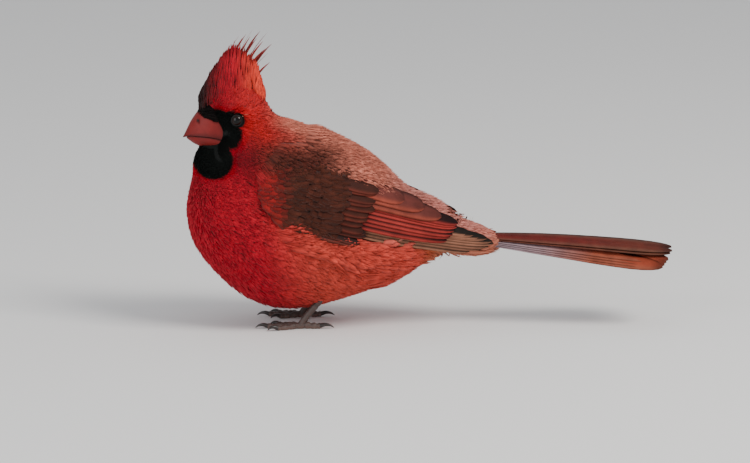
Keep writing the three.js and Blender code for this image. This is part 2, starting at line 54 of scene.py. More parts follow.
camera_data = bpy.data.cameras.new("camera")
camera = bpy.data.objects.new("camera", camera_data)
bpy.context.scene.collection.objects.link(camera)
camera_data.lens = camera_data.sensor_width * VIEW_DISTANCE / VIEW_WIDTH
camera_data.clip_end = 20.0
view_height = math.radians(VIEW_HEIGHT_DEG)
camera.location = (
    VIEW_CENTRE[0],
    -VIEW_DISTANCE * math.cos(view_height),
    VIEW_CENTRE[2] + VIEW_DISTANCE * math.sin(view_height),
)
camera.rotation_euler = (math.pi / 2 - view_height, 0.0, 0.0)
bpy.context.scene.camera = camera


# Body: breast, belly, back, rump, neck and head. Under the feathers lies one skin, coloured as they are,
# a blend of egg-shaped masses with no seam from the tail's root to the crown.
BLEND = 2.4
# Centre x and z, half length, half width, half height, and how far the tail end tips down.
BODY_MASSES = {
    "breast": (-80.3, 49.5, 23.2, 26.5, 27.5, 0),
    "belly": (-61.8, 35.0, 31.0, 30.0, 26.5, 0),
    "mantle": (-63.5, 66.8, 23.2, 23.5, 21.8, 30),
    "lower_back": (-38.6, 57.2, 34.0, 23.5, 19.2, 35),
    "vent": (-35.0, 32.0, 43.0, 24.5, 19.0, -20),
    "rump": (3.5, 40.2, 27.5, 13.5, 7.5, 10),
    "neck": (-79.4, 72.0, 18.0, 18.8, 19.2, 0),
    "skull": (-78.5, 88.2, 11.5, 12.0, 13.1, 0),
    "lores": (-86.5, 87.0, 6.5, 5.6, 7.5, 0),
    "chin": (-91.0, 70.0, 8.4, 8.0, 6.2, 0),
    "crown": (-85.5, 99.5, 10.5, 5.0, 8.2, -38),
}
# Hollow of the cheeks beside the bill's base: centre x and z, reach, and how strongly it draws in.
GAPE = (-90.5, 81.0, 6.0, 7.5, 1.45)
# Stations of the cross-sections: centre x and z, and the turn of the section's forward normal.
STATIONS = np.array([
    (31, 36.5, 8), (22, 38, 8), (0, 41, 8), (-25, 44, 8), (-48, 48, 14), (-64, 54, 28),
    (-76, 66, 48), (-82, 80, 58), (-84.5, 90, 82), (-84.5, 96, 90), (-83.5, 106, 90),
], float)
SKIN_RINGS, SKIN_SIDES = 150, 96
MM = 0.001


def unit(vectors):
    """Vectors scaled to a length of one."""
    return vectors / (np.linalg.norm(vectors, axis=-1, keepdims=True) + 1e-12)


def field(points, masses):
    """Smooth least of the distances to the masses: -B ln(sum of exp(-d / B)), below zero inside."""
    total = np.zeros(points.shape[:-1])
    hollow = ((points[..., 0] - GAPE[0]) / GAPE[2]) ** 2 + ((points[..., 2] - GAPE[1]) / GAPE[3]) ** 2
    drawn = points[..., 1] * (1 + GAPE[4] * np.exp(-hollow))
    for x, z, long, wide, high, tip in masses.values():
        cos, sin = math.cos(math.radians(-tip)), math.sin(math.radians(-tip))
        dx, dz = points[..., 0] - x, points[..., 2] - z
        along = (dx * cos + dz * sin) / long
        up = (dz * cos - dx * sin) / high
        side = drawn / wide
        reach = np.sqrt(along**2 + up**2 + side**2) + 1e-9
        steep = np.sqrt((along / long) ** 2 + (up / high) ** 2 + (side / wide) ** 2) + 1e-9
        total += np.exp(-reach * (reach - 1) / steep / BLEND)
    return -BLEND * np.log(total)


def slope(points, masses):
    """Unit direction in which the field grows, from differences over a small step."""
    step = 0.3
    grown = np.empty_like(points)
    for axis in range(3):
        shift = np.zeros(3)
        shift[axis] = step
        grown[..., axis] = field(points + shift, masses) - field(points - shift, masses)
    return unit(grown)


def settle(points, level, masses, rounds=3):
    """Points moved along the slope until the field has the given level at them."""
    for _ in range(rounds):
        gap = (level - field(points, masses))[..., None]
        points = points + slope(points, masses) * gap
    return points


def reach_of(start, way, level, masses, far=90.0):
    """Distance from inner points along directions to the level, by marching and halving."""
    near = np.zeros(start.shape[:-1])
    high = np.full(start.shape[:-1], far)
    for distance in np.arange(far, 0.0, -3.0):
        outside = field(start + way * distance, masses) > level
        blocked = field(start + way * (distance - 3.0), masses) > level
        high = np.where(outside, distance, high)
        near = np.where(outside & ~blocked, distance - 3.0, near)
    high = np.minimum(near + 3.0, high)
    for _ in range(16):
        middle = (near + high) / 2
        inside = field(start + way * middle[..., None], masses) < level
        near = np.where(inside, middle, near)
        high = np.where(inside, high, middle)
    return high


def smooth(edge0, edge1, value):
    """Smooth step from 0 at the first edge to 1 at the second."""
    t = np.clip((value - edge0) / (edge1 - edge0), 0.0, 1.0)
    return t * t * (3 - 2 * t)


def linear(hex_colour):
    """sRGB hex to linear red, green and blue."""
    values = np.array([int(hex_colour[i : i + 2], 16) / 255 for i in (1, 3, 5)])
    return np.where(values <= 0.04045, values / 12.92, ((values + 0.055) / 1.055) ** 2.4)


def station_at(place):
    """Centre and upward direction of the section at a place along the stations."""
    index = np.arange(len(STATIONS))
    x, z, turn = (np.interp(place, index, STATIONS[:, k]) for k in range(3))
    turn = np.radians(turn)
    zero = np.zeros_like(x)
    centre = np.stack([x, zero, z], -1)
    upward = np.stack([np.sin(turn), zero, np.cos(turn)], -1)
    return centre, upward


def coat_depth(points):
    """How deep the skin lies under the feather tips: thin on the face, thick on the belly."""
    from_bill = np.hypot(points[..., 0] + 96, points[..., 2] - 86)
    return 0.45 + 1.25 * smooth(5, 30, from_bill) + 0.5 * smooth(40, 15, points[..., 2])


def skin_point(place, angle):
    """Skin at a place and angle: out from the station's centre to the field's zero, less the coat."""
    centre, upward = station_at(place)
    way = upward * np.cos(angle)[..., None]
    way[..., 1] += np.sin(angle)
    surface = centre + way * reach_of(centre, way, 0.0, BODY_MASSES)[..., None]
    return settle(surface, -coat_depth(surface), BODY_MASSES, 2)


# Colours of the plumage, as sRGB. Beside the feathers' own colours some hold painted light and shade:
# painted shade deepens the breast, crown, mantle and the side of the neck, and painted light brightens
# the belly, nape and back.
PLUMAGE = {
    "breast": "#AC0C22", "belly": "#CA4638", "vent": "#C08238", "crown": "#A00C1E", "nape": "#BE1E20",
    "neck": "#6C0614", "back": "#C87460", "mantle": "#54241A", "rump": "#CE8276", "mask": "#0A0D0B",
    "fleck": "#F0C0A0",
}


def marking(points):
    """Linear colour of the plumage at a place: soft-edged regions laid over one another."""
    x, y, z = points[..., 0], np.abs(points[..., 1]), points[..., 2]
    shade = {name: linear(value) for name, value in PLUMAGE.items()}

    def over(under, colour, amount):
        return under + (colour - under) * amount[..., None]

    tint = np.broadcast_to(shade["breast"], points.shape).copy()
    # Underside, from the breast back to the vent. The breast's deep crimson is partly painted shade and
    # the belly's brighter orange-red partly painted light, as from a light behind the bird.
    tint = over(tint, shade["belly"], smooth(-66, -34, x + 0.2 * z))
    tint = over(tint, shade["vent"], smooth(-6, 14, x) * smooth(40, 34, z))
    # Head, nape and the painted shadow of the neck's side. The crown's deeper crimson is partly painted
    # shade and the nape's brighter red partly painted light.
    tint = over(tint, shade["crown"], smooth(88, 96, z) * smooth(-62, -70, x))
    tint = over(tint, shade["nape"], smooth(-84, -70, x + 0.25 * (z - 85)) * smooth(74, 86, z))
    # Painted shadow darkening the hollow at the side of the neck.
    tint = over(tint, shade["neck"], 0.9 * np.exp(-(((x + 77) / 9) ** 2) - ((z - 74) / 7) ** 2))
    # Upper side: pale back, the mantle's dark patch on each shoulder, a pale ridge between, and the rump.
    # The dark patch is partly the feathers' grey-brown edges and partly painted shade; the pale back and
    # the pale ridge are partly painted light from above and behind.
    behind = smooth(-8, 6, z - (66 - 0.62 * (x + 62))) * smooth(-79, -63, x)
    tint = over(tint, shade["back"], behind * smooth(-70, -40, x) * smooth(38, 46, z))
    tint = over(tint, shade["mantle"], behind * smooth(88, 74, z) * smooth(-28, -48, x))
    # Pale ridge: painted light along the top of the back.
    painted_light_ridge = smooth(15, 8, y) * smooth(-72, -56, x) * smooth(-12, 2, z - (74 - 0.62 * (x + 62)))
    tint = over(tint, shade["back"], painted_light_ridge * 0.9)
    tint = over(tint, shade["rump"], smooth(-22, -6, x) * smooth(36, 44, z))
    # Black mask: three ovals, and pale flecks at the eye's rear corner.
    lores = np.hypot((x + 91) / 12.0, (z - 84.5) / 9.6)
    throat = np.hypot((x + 92.5) / 9.6, (z - 73.5) / 8.2)
    brow = np.hypot((x + 83) / 5.4, (z - 89.6) / 4.2)
    mask = smooth(1.06, 0.94, np.minimum(np.minimum(lores, throat), brow))
    tint = over(tint, shade["mask"], mask)
    upper_fleck = np.hypot((x + 77.9) / 1.3, (z - 92.2) / 0.8)
    rear_fleck = np.hypot((x + 76.6) / 0.8, (z - 89.6) / 1.1)
    flecks = smooth(1.1, 0.7, np.minimum(upper_fleck, rear_fleck))
    return over(tint, shade["fleck"], flecks * 0.8)


def grid_faces(rows, columns, closed):
    """Quads between neighbouring rows; closed joins the last column to the first."""
    across = columns if closed else columns - 1
    i, j = np.meshgrid(np.arange(rows - 1), np.arange(across), indexing="ij")
    k = (j + 1) % columns
    quads = [i * columns + j, i * columns + k, (i + 1) * columns + k, (i + 1) * columns + j]
    return np.stack(quads, -1).reshape(-1, 4)


def make_piece(name, points, faces, tint=None, maps=None):
    """A mesh object from points in millimetres, lists of equal-sided faces, colours and UV maps."""
    mesh = bpy.data.meshes.new(name)
    faces = [np.asarray(part, np.int32) for part in faces if len(part)]
    loops = np.concatenate([part.ravel() for part in faces])
    sizes = np.concatenate([np.full(len(part), part.shape[1]) for part in faces])
    mesh.vertices.add(len(points))
    mesh.vertices.foreach_set("co", (np.asarray(points) * MM).astype(np.float32).ravel())
    mesh.loops.add(len(loops))
    mesh.loops.foreach_set("vertex_index", loops.astype(np.int32))
    mesh.polygons.add(len(sizes))
    mesh.polygons.foreach_set("loop_start", np.concatenate([[0], np.cumsum(sizes)[:-1]]).astype(np.int32))
    mesh.polygons.foreach_set("use_smooth", np.ones(len(sizes), bool))
    for label, places in (maps or {}).items():
        layer = mesh.uv_layers.new(name=label)
        layer.data.foreach_set("uv", np.asarray(places)[loops].astype(np.float32).ravel())
    if tint is not None:
        colours = np.ones((len(points), 4), np.float32)
        colours[:, :3] = np.clip(tint, 0, 1)
        attribute = mesh.color_attributes.new("tint", "FLOAT_COLOR", "POINT")
        attribute.data.foreach_set("color", colours.ravel())
    mesh.update(calc_edges=True)
    mesh.validate()
    piece = bpy.data.objects.new(name, mesh)
    bpy.context.scene.collection.objects.link(piece)
    return piece


def add_node(material, kind, links=None, **settings):
    """One shader node: settings are its properties or input values, links are what feeds its inputs."""
    made = material.node_tree.nodes.new(kind)
    for key, value in settings.items():
        if key.startswith("in_"):
            spot = key[3:]
            made.inputs[int(spot) if spot.isdigit() else spot.replace("_", " ")].default_value = value
        else:
            setattr(made, key, value)
    for spot, source in (links or {}).items():
        material.node_tree.links.new(source, made.inputs[spot])
    return made


def new_material(name, **values):
    """A material with a Principled shader whose sockets have the given constant values."""
    material = bpy.data.materials.new(name)
    material.use_nodes = True
    shader = material.node_tree.nodes["Principled BSDF"]
    for key, value in values.items():
        shader.inputs[key.replace("_", " ")].default_value = value
    return material, shader


def tinted_material(name, **values):
    """A material whose colour is the piece's tint attribute."""
    material, shader = new_material(name, **values)
    tint = add_node(material, "ShaderNodeAttribute", attribute_name="tint")
    material.node_tree.links.new(tint.outputs["Color"], shader.inputs["Base Color"])
    return material


# Plumage: soft feather, matt, with a faint velvet sheen from its loose barbs. Fine stripes along each
# feather are its barbs, drawn 0.5 mm apart, coarser than real ones so that they show.
BARB_PITCH = 0.5


def plumage_material(name, roughness, sheen, specular, stripe_depth):
    """Feather shader: the tint attribute, mottled, times a stripe of |across| + along each feather."""
    material, shader = new_material(name, Roughness=roughness, Sheen_Weight=sheen, Sheen_Roughness=0.5,
                                    Specular_IOR_Level=specular)
    tint = add_node(material, "ShaderNodeAttribute", attribute_name="tint")
    place = add_node(material, "ShaderNodeTexCoord")
    mottle = add_node(material, "ShaderNodeTexNoise", {"Vector": place.outputs["Object"]},
                      in_Scale=220.0, in_Detail=3.0)
    spread = add_node(material, "ShaderNodeMapRange", {"Value": mottle.outputs["Fac"]},
                      in_From_Min=0.3, in_From_Max=0.7, in_To_Min=0.78, in_To_Max=1.18)
    barbs = add_node(material, "ShaderNodeUVMap", uv_map="barbs")
    parts = add_node(material, "ShaderNodeSeparateXYZ", {"Vector": barbs.outputs["UV"]})
    lean = add_node(material, "ShaderNodeMath", {0: parts.outputs["X"]}, operation="ABSOLUTE")
    run = add_node(material, "ShaderNodeMath", {0: lean.outputs[0], 1: parts.outputs["Y"]},
                   operation="ADD")
    wave = add_node(material, "ShaderNodeMath", {0: run.outputs[0]}, operation="MULTIPLY",
                    in_1=2 * math.pi / BARB_PITCH)
    stripe = add_node(material, "ShaderNodeMath", {0: wave.outputs[0]}, operation="SINE")
    dim = add_node(material, "ShaderNodeMath", {0: stripe.outputs[0], 2: spread.outputs["Result"]},
                   operation="MULTIPLY_ADD", in_1=0.09)
    shade = add_node(material, "ShaderNodeVectorMath",
                     {0: tint.outputs["Color"], "Scale": dim.outputs[0]}, operation="SCALE")
    bump = add_node(material, "ShaderNodeBump", {"Height": stripe.outputs[0]},
                    in_Strength=0.5, in_Distance=stripe_depth)
    material.node_tree.links.new(shade.outputs[0], shader.inputs["Base Color"])
    material.node_tree.links.new(bump.outputs[0], shader.inputs["Normal"])
    return material


body_plumage = plumage_material("body plumage", 0.85, 0.05, 0.15, 0.00008)
mask_plumage = plumage_material("black mask plumage", 0.9, 0.0, 0.08, 0.00008)

place_grid = np.linspace(0.0, len(STATIONS) - 1.0, SKIN_RINGS)
angle_grid = np.linspace(0.0, 2 * np.pi, SKIN_SIDES, endpoint=False)
skin_places, skin_angles = np.meshgrid(place_grid, angle_grid, indexing="ij")
skin_rings = skin_point(skin_places, skin_angles)


def skin_map(place, angle):
    """Unwrap of the skin: angle round the body across, place along the body upwards."""
    return np.stack([0.02 + 0.96 * angle / (2 * np.pi), 0.02 + 0.96 * place / (len(STATIONS) - 1)], -1)


# The seam column is doubled so that the unwrap has two clean edges.
seamed = np.concatenate([skin_rings, skin_rings[:, :1]], 1)
seam_angles = np.concatenate([angle_grid, [2 * np.pi]])
seam_places, seam_turns = np.meshgrid(place_grid, seam_angles, indexing="ij")
hubs = np.stack([seamed[0, :-1].mean(0), seamed[-1, :-1].mean(0)])
skin_points = np.concatenate([seamed.reshape(-1, 3), hubs])
skin_uv = np.concatenate([skin_map(seam_places, seam_turns).reshape(-1, 2), [[0.5, 0.01], [0.5, 0.99]]])
first = np.arange(SKIN_SIDES)
last = (SKIN_RINGS - 1) * (SKIN_SIDES + 1) + first
hub = len(skin_points) - 2
skin_caps = np.concatenate([
    np.stack([first + 1, first, np.full(SKIN_SIDES, hub)], -1),
    np.stack([last, last + 1, np.full(SKIN_SIDES, hub + 1)], -1),
])
skin = make_piece("skin", skin_points, [grid_faces(SKIN_RINGS, SKIN_SIDES + 1, False), skin_caps],
                  marking(skin_points), {"OFBake": skin_uv, "barbs": skin_uv * 400})
skin.data.materials.append(body_plumage)
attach(skin, "root")
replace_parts(skin, "torso", "neck", "head")


# Wing: the flight feathers lie on a sheet that bridges the hollow above the rump, under a pad of
# small coverts. Places on it are given as seen from the side.
SHEET_MASS = {"sheet": (-20.0, 45.0, 56.0, 17.0, 15.0, 12)}
WING_MASSES = {**BODY_MASSES, **SHEET_MASS}
PAD_FRONT, PAD_BACK = np.array([-70.0, 63.0]), np.array([-31.0, 53.0])
PAD_HALF_WIDTH, PAD_BASE, PAD_RISE = 14.5, 0.7, 1.6
PAD_LENGTH = np.hypot(*(PAD_BACK - PAD_FRONT))
PAD_WAY = (PAD_BACK - PAD_FRONT) / PAD_LENGTH


def pad_half(along):
    """Half width of the pad: the root of a sine along it, blunt at the wrist and drawn in behind."""
    return PAD_HALF_WIDTH * np.sqrt(np.sin(np.pi * (0.03 + 0.82 * np.clip(along, 0, 1.1) ** 0.8)))


def pad_place(x, z):
    """Place on the pad: along it from wrist to rear, and across it from -1, top, to 1, bottom."""
    dx, dz = x - PAD_FRONT[0], z - PAD_FRONT[1]
    along = (dx * PAD_WAY[0] + dz * PAD_WAY[1]) / PAD_LENGTH
    return along, (dx * PAD_WAY[1] - dz * PAD_WAY[0]) / pad_half(along)


def pad_level(x, z):
    """Height of the pad above the sheet: highest in its middle, thin at its edge."""
    along, across = pad_place(x, z)
    crown = np.clip(1 - across**2, 0, 1) * np.sqrt(np.clip(np.sin(np.pi * (0.05 + 0.85 * along)), 0, 1))
    inside = (along > -0.05) & (along < 1.1) & (np.abs(across) < 1)
    return np.where(inside, PAD_BASE + PAD_RISE * crown, 0.0)


def under_wing(points):
    """Whether a place on the body is hidden by a folded wing."""
    x, y, z = points[..., 0], np.abs(points[..., 1]), points[..., 2]
    along, across = pad_place(x, z)
    pad = (along > 0.06) & (along < 1.0) & (np.abs(across) < 0.8)
    middle = 50 - 0.36 * (x + 35)
    vanes = (x > -36) & (x < 20) & (np.abs(z - middle) < 7.5 - 0.05 * (x + 36))
    return (pad | vanes) & (y > 5)


# Body feathers: small vanes of loose barbs, rooted in the skin and lying towards the tail, each over
# the next one's root. They are smallest round the bill and eye and longest on the belly.
LIE = np.array([1.0, 0.0, -0.6])
FEATHER_STATIONS = np.array([0.0, 0.34, 0.66, 0.88, 1.0])
FEATHER_WIDTHS = np.array([0.35, 0.9, 1.0, 0.62, 0.08])
LOCK_WIDTHS = np.array([0.5, 1.0, 0.8, 0.42, 0.05])
TUFT_PATCH = 0.003
# Large primes that give each cell of space a number of its own.
CELL_PRIMES = np.array([73856093, 19349663, 83492791])
rng = np.random.default_rng(11)


def size_of(points):
    """Feather size against a breast feather's: a third at the bill, more on belly and back."""
    x, z = points[..., 0], points[..., 2]
    from_bill = np.hypot(x + 95, (z - 86) * 0.9)
    size = 0.3 + 0.25 * smooth(6, 16, from_bill) + 0.4 * smooth(16, 38, from_bill)
    return size + 0.3 * smooth(45, 20, z) + 0.15 * smooth(-60, -20, x)


def skin_roots(spacing, keep, tries=420000):
    """Even, seeded roots on the skin: random places by area, thinned to one a cell of the size."""
    corner = skin_rings
    right = np.roll(skin_rings, -1, 1)
    edge1 = right[:-1] - corner[:-1]
    edge2 = corner[1:] - corner[:-1]
    area = np.linalg.norm(np.cross(edge1, edge2), axis=-1)
    density = area / size_of(corner[:-1]) ** 2
    share = density.ravel() / density.sum()
    pick = rng.choice(share.size, tries, p=share)
    i, j = np.unravel_index(pick, area.shape)
    u, v = rng.random((2, tries))
    a, b = corner[i, j], right[i, j]
    c, d = corner[i + 1, j], right[i + 1, j]
    points = (a * (1 - u)[:, None] + b * u[:, None]) * (1 - v)[:, None]
    points += (c * (1 - u)[:, None] + d * u[:, None]) * v[:, None]
    chosen = keep(points)
    points, i, j, u, v = points[chosen], i[chosen], j[chosen], u[chosen], v[chosen]
    places = (i + v) * (len(STATIONS) - 1) / (SKIN_RINGS - 1)
    angles = (j + u) * 2 * np.pi / SKIN_SIDES
    # One root a cell: cells are nested by size so that fine areas have small ones.
    octave = np.round(np.log2(size_of(points)) * 2) / 2
    cell = spacing * 2.0**octave
    key = np.floor(points / cell[:, None]).astype(np.int64)
    mixed = key * CELL_PRIMES
    code = (mixed[:, 0] ^ mixed[:, 1] ^ mixed[:, 2]) * 17 + (octave * 2).astype(np.int64)
    _, kept = np.unique(code, return_index=True)
    return points[kept], skin_map(places[kept], angles[kept])


def lay_feathers(roots, way, length, width, start, end, widths, arch):
    """Feathers on the body as closed vanes of three-sided section: a straight run along the lie, settled
    at each station to the level start + (end - start) t, t from 0 at the root to 1 at the tip."""
    normal = slope(roots, BODY_MASSES)
    way = unit(way - normal * np.sum(way * normal, -1, keepdims=True))
    t = FEATHER_STATIONS[None, :]
    seats = roots[:, None] + way[:, None] * (length[:, None] * t)[..., None]
    level = start[:, None] + (end - start)[:, None] * t
    seats = settle(seats, level, BODY_MASSES, 2)
    normal = slope(seats, BODY_MASSES)
    side = unit(np.cross(np.gradient(seats, axis=1), normal))
    half = (width[:, None] * widths[None] / 2)[..., None]
    rise = normal * half * arch
    return np.stack([seats - side * half - rise, seats + rise * 2, seats + side * half - rise], 2)


def vane_faces(count, stations, ring):
    """Faces of many closed vanes: quads between rings and a flat cap at each end."""
    quads = grid_faces(stations, ring, True)
    base = (np.arange(count) * stations * ring)[:, None, None]
    ends = np.arange(ring)
    caps = np.stack([ends[::-1], (stations - 1) * ring + ends])
    return [(quads[None] + base).reshape(-1, 4), (caps[None] + base).reshape(-1, ring)]


def vane_maps(rings, places, length, width):
    """Bake patch at each root's place on the skin's unwrap, and barb lines in true millimetres."""
    count, stations, ring = rings.shape[:3]
    t = np.broadcast_to(np.linspace(0.0, 1.0, stations)[None, :, None], (count, stations, ring))
    u = np.broadcast_to(np.linspace(-0.5, 0.5, ring)[None, None], (count, stations, ring))
    patch = np.stack([u, t - 0.5], -1) * TUFT_PATCH + places[:, None, None]
    barbs = np.stack([u * width[:, None, None], t * length[:, None, None]], -1)
    return {"OFBake": patch.reshape(-1, 2), "barbs": barbs.reshape(-1, 2)}


def coat_piece(name, rings, places, length, width, tint, material):
    """One joined mesh of many feathers, riding on the body."""
    points = rings.reshape(-1, 3)
    piece = make_piece(name, points, vane_faces(*rings.shape[:3]), tint.reshape(-1, 3),
                       vane_maps(rings, places, length, width))
    piece.data.materials.append(material)
    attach(piece, "root")
    return piece


def body_coat(name, spacing, keep, long=8.5, wide=2.6, widths=FEATHER_WIDTHS, lift=0.0, arch=0.14,
              lie=LIE, slot="plumage_red"):
    """Feathers over part of the skin, coloured like the skin under their tips."""
    roots, places = skin_roots(spacing, keep)
    size = size_of(roots)
    count = len(roots)
    length = long * size * rng.uniform(0.85, 1.15, count)
    width = wide * size * rng.uniform(0.8, 1.2, count)
    depth = coat_depth(roots)
    upright = smooth(90, 96, roots[:, 2])[:, None]
    way = np.array(lie) * (1 - upright) + np.array([0.35, 0.0, 1.0]) * upright
    way = way + rng.normal(0, 0.16, (count, 3))
    start = -depth - 0.25
    end = (lift + rng.uniform(-0.35, 0.25, count)) * size
    rings = lay_feathers(roots, way, length, width, start, end, widths, arch)
    tips = rings[:, -2].mean(1)
    tone = marking(tips) * rng.uniform(0.86, 1.12, (count, 1))
    depth_shade = np.interp(FEATHER_STATIONS, [0, 0.6, 1], [0.55, 0.9, 1.05])
    tint = tone[:, None, None] * depth_shade[None, :, None, None] * np.ones(rings.shape[:3] + (1,))
    material = mask_plumage if slot == "mask_black" else body_plumage
    return coat_piece(name, rings, places, length, width, tint, material)


eye_low, eye_high = (np.array(corner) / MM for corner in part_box("eye_left"))
EYE_PLACE = (eye_low + eye_high) / 2
EYE_OPENING = 2.8


def near_eye(points):
    """Whether a root lies in the eye's opening."""
    return np.hypot(points[..., 0] - EYE_PLACE[0], points[..., 2] - EYE_PLACE[2]) < EYE_OPENING


def on_bill(points):
    """Whether a root lies under the bill's base."""
    x, y, z = points[..., 0], np.abs(points[..., 1]), points[..., 2]
    return (x < -92.0) & (z > 77.0) & (z < 95.0) & (y < 6.4)


def is_head(points):
    """Whether a root is above the line from the throat to the nape."""
    return points[..., 2] > 78 - 0.55 * (points[..., 0] + 90)


def is_black(points):
    """Whether a root lies in the black mask."""
    return marking(points).sum(-1) < 0.06


# Borders between the regions: x where the breast ends, z between crown and cheek, and z of the side.
BREAST_END, CROWN_BASE, SIDE_LINE = -72, 84, 46


def red_face(points):
    """Whether a root is on the red part of the head, clear of eye and bill."""
    return is_head(points) & ~is_black(points) & ~near_eye(points) & ~on_bill(points)


def on_trunk(points):
    """Whether a root is behind the breast and not hidden by a wing."""
    return ~is_head(points) & (points[..., 0] >= BREAST_END) & ~under_wing(points)


REGIONS = {
    "coat_mask": lambda p: is_black(p) & ~near_eye(p) & ~on_bill(p),
    "coat_crown": lambda p: red_face(p) & (p[..., 2] >= CROWN_BASE),
    "coat_cheek": lambda p: red_face(p) & (p[..., 2] < CROWN_BASE),
    "coat_breast": lambda p: ~is_head(p) & ~is_black(p) & (p[..., 0] < BREAST_END) & ~under_wing(p),
    "coat_belly": lambda p: on_trunk(p) & (p[..., 2] < SIDE_LINE),
    "coat_back": lambda p: on_trunk(p) & (p[..., 2] >= SIDE_LINE),
}
for region, keep in REGIONS.items():
    slot = "mask_black" if region == "coat_mask" else "plumage_red"
    body_coat(region, 1.3, keep, slot=slot)
    body_coat(region + "_barbs", 1.16, keep, 7.0, 0.9, LOCK_WIDTHS, 0.35, 0.3, slot=slot)


def by_flank(points):
    """Whether a root is just below a folded wing's lower edge, or just in front of it."""
    x, y, z = points[..., 0], np.abs(points[..., 1]), points[..., 2]
    edge = np.interp(x, [-70, -55, -35, -10, 10], [50, 44, 39, 35, 33])
    return (x > -68) & (x < -10) & (z < edge - 0.5) & (z > edge - 8) & (y > 4)


def by_shoulder(points):
    """Whether a root is just above a folded wing's upper edge or at its front."""
    x, y, z = points[..., 0], np.abs(points[..., 1]), points[..., 2]
    edge = np.interp(x, [-74, -66, -50, -38, -22, -6], [64, 74, 74, 71, 64, 57])
    return (x > -75) & (x < -14) & (z > edge - 4) & (z < edge + 7) & (y > 6)


def by_vent(points):
    """Whether a root is on the underside between the legs and the tail."""
    x, z = points[..., 0], points[..., 2]
    return (x > -34) & (x < 18) & (z < np.interp(x, [-34, -10, 18], [26, 31, 37]))


def by_saddle(points):
    """Whether a root is on the back between the folded wings."""
    x, y, z = points[..., 0], np.abs(points[..., 1]), points[..., 2]
    return (x > -56) & (x < -3) & (z > 46) & (y < 13)


# Long loose feathers that spill over the wings' edges and under the tail: where they grow, their length
# and width, how far their tips and the barbs' tips stand off, and which way they lie.
LONG_FEATHERS = {
    "coat_flank": (by_flank, 12.0, 3.0, 2.2, 2.6, (1.0, 0.0, -0.12)),
    "coat_undertail": (by_vent, 13.0, 3.2, 1.4, 1.7, (1.0, 0.0, 0.1)),
    "coat_saddle": (by_saddle, 11.0, 3.2, 2.6, 3.0, LIE),
    "coat_shoulder": (by_shoulder, 11.0, 3.2, 2.6, 3.0, (1.0, 0.0, -0.75)),
}
for region, (keep, long, wide, lift, barb_lift, lie) in LONG_FEATHERS.items():
    body_coat(region, 1.5, keep, long, wide, lift=lift, lie=lie)
    body_coat(region + "_barbs", 1.3, keep, long - 1.0, 0.9, LOCK_WIDTHS, barb_lift, 0.3, lie=lie)


# Wing: nine primaries, seven secondaries, which is one more than in life, and three tertials of stiff
# vane, folded so that each lies over the next one below, with their bases under rows of coverts. Left
# side first, then mirrored.
VANE_RUN = np.array([0, 0.07, 0.18, 0.32, 0.46, 0.6, 0.72, 0.82, 0.89, 0.94, 0.975, 1.0])
VANE_OUTLINE = np.array([0.5, 0.62, 0.78, 0.9, 0.97, 1.0, 0.99, 0.93, 0.82, 0.66, 0.45, 0.12])
VANE_ACROSS = np.array([-1.0, -0.5, -0.1, 0.15, 0.4, 0.75, 1.0])
SHORT_RUN = np.array([0, 0.3, 0.6, 0.82, 0.94, 1.0])
SHORT_OUTLINE = np.array([0.55, 0.9, 1.0, 0.8, 0.5, 0.12])
SHORT_ACROSS = np.array([-1.0, 0.0, 1.0])
WING_TILT = 0.16
# Count; root of the uppermost and lowest; tip of both; how far the middle tips reach beyond; half width;
# level at the tips; dark colour of the hidden web, colour of the open edge.
FLIGHT_TIERS = {
    "primaries": (9, (-32, 54), (-39, 45), (17, 42), (18, 33.5), 10, 2.3, 0.9, "#1C1612", "#96644E"),
    "secondaries": (7, (-34, 60), (-40, 50), (12, 46.5), (8, 39.5), 1, 2.5, 2.1, "#22080A", "#98302A"),
    "tertials": (3, (-38, 67), (-38, 61), (-10, 56.5), (6, 49), 0, 3.4, 2.4, "#66302A", "#984434"),
}
# The coverts' dark browns are partly their dusky webs and partly painted shade.
COVERT_TIERS = {
    "primary_coverts": (4, (-49, 49), (-52, 45), (-27, 42.5), (-30, 38.5), 0, 1.9, 2.1, "#2E1A17", "#602C22"),
    "greater_coverts": (9, (-46, 68), (-50, 51), (-21, 61), (-28, 45), 0, 2.3, 3.1, "#3A1A12", "#5C261C"),
}
# Stiff vane, smoother than the body's feathers and still hardly glossy.
wing_plumage = plumage_material("wing feathers", 0.68, 0.0, 0.15, 0.0001)


def wing_seat(x, z, level):
    """Place on the left of the wing's sheet at a level, straight out from the middle plane."""
    start = np.stack([x, np.zeros_like(x), z], -1)
    way = np.broadcast_to(np.array([0.0, -1.0, 0.0]), start.shape)
    return start + way * reach_of(start, way, level, WING_MASSES, 42.0)[..., None]


def wing_vanes(roots, tips, half, low, high, run, outline, across, on_pad=0.0):
    """Closed vanes: seen from the side each runs from root to tip and widens by the outline; its level
    grows from low at the root to high, by the tilt towards its lower edge, and with the pad."""
    way = tips - roots
    length = np.linalg.norm(way, axis=-1)
    way = way / length[:, None]
    down = np.stack([way[:, 1], -way[:, 0]], -1)
    t, share, u = run[None, :, None], outline[None, :, None], across[None, None, :]
    off = half[:, None, None] * share * u
    place = roots[:, None, None] + (way * length[:, None])[:, None, None] * t[..., None]
    place = place + down[:, None, None] * off[..., None]
    rise = smooth(0, 0.35, t)
    level = low[:, None, None] + (high - low)[:, None, None] * rise + WING_TILT * off
    level = level + on_pad * pad_level(place[..., 0], place[..., 1])
    seats = wing_seat(place[..., 0], place[..., 1], level)
    out = slope(seats, WING_MASSES)
    over = seats + out * (0.08 + 0.16 * (1 - np.abs(u)))[..., None]
    under = (seats - out * 0.06)[:, :, 1:-1][:, :, ::-1]
    return np.concatenate([over, under], 2)


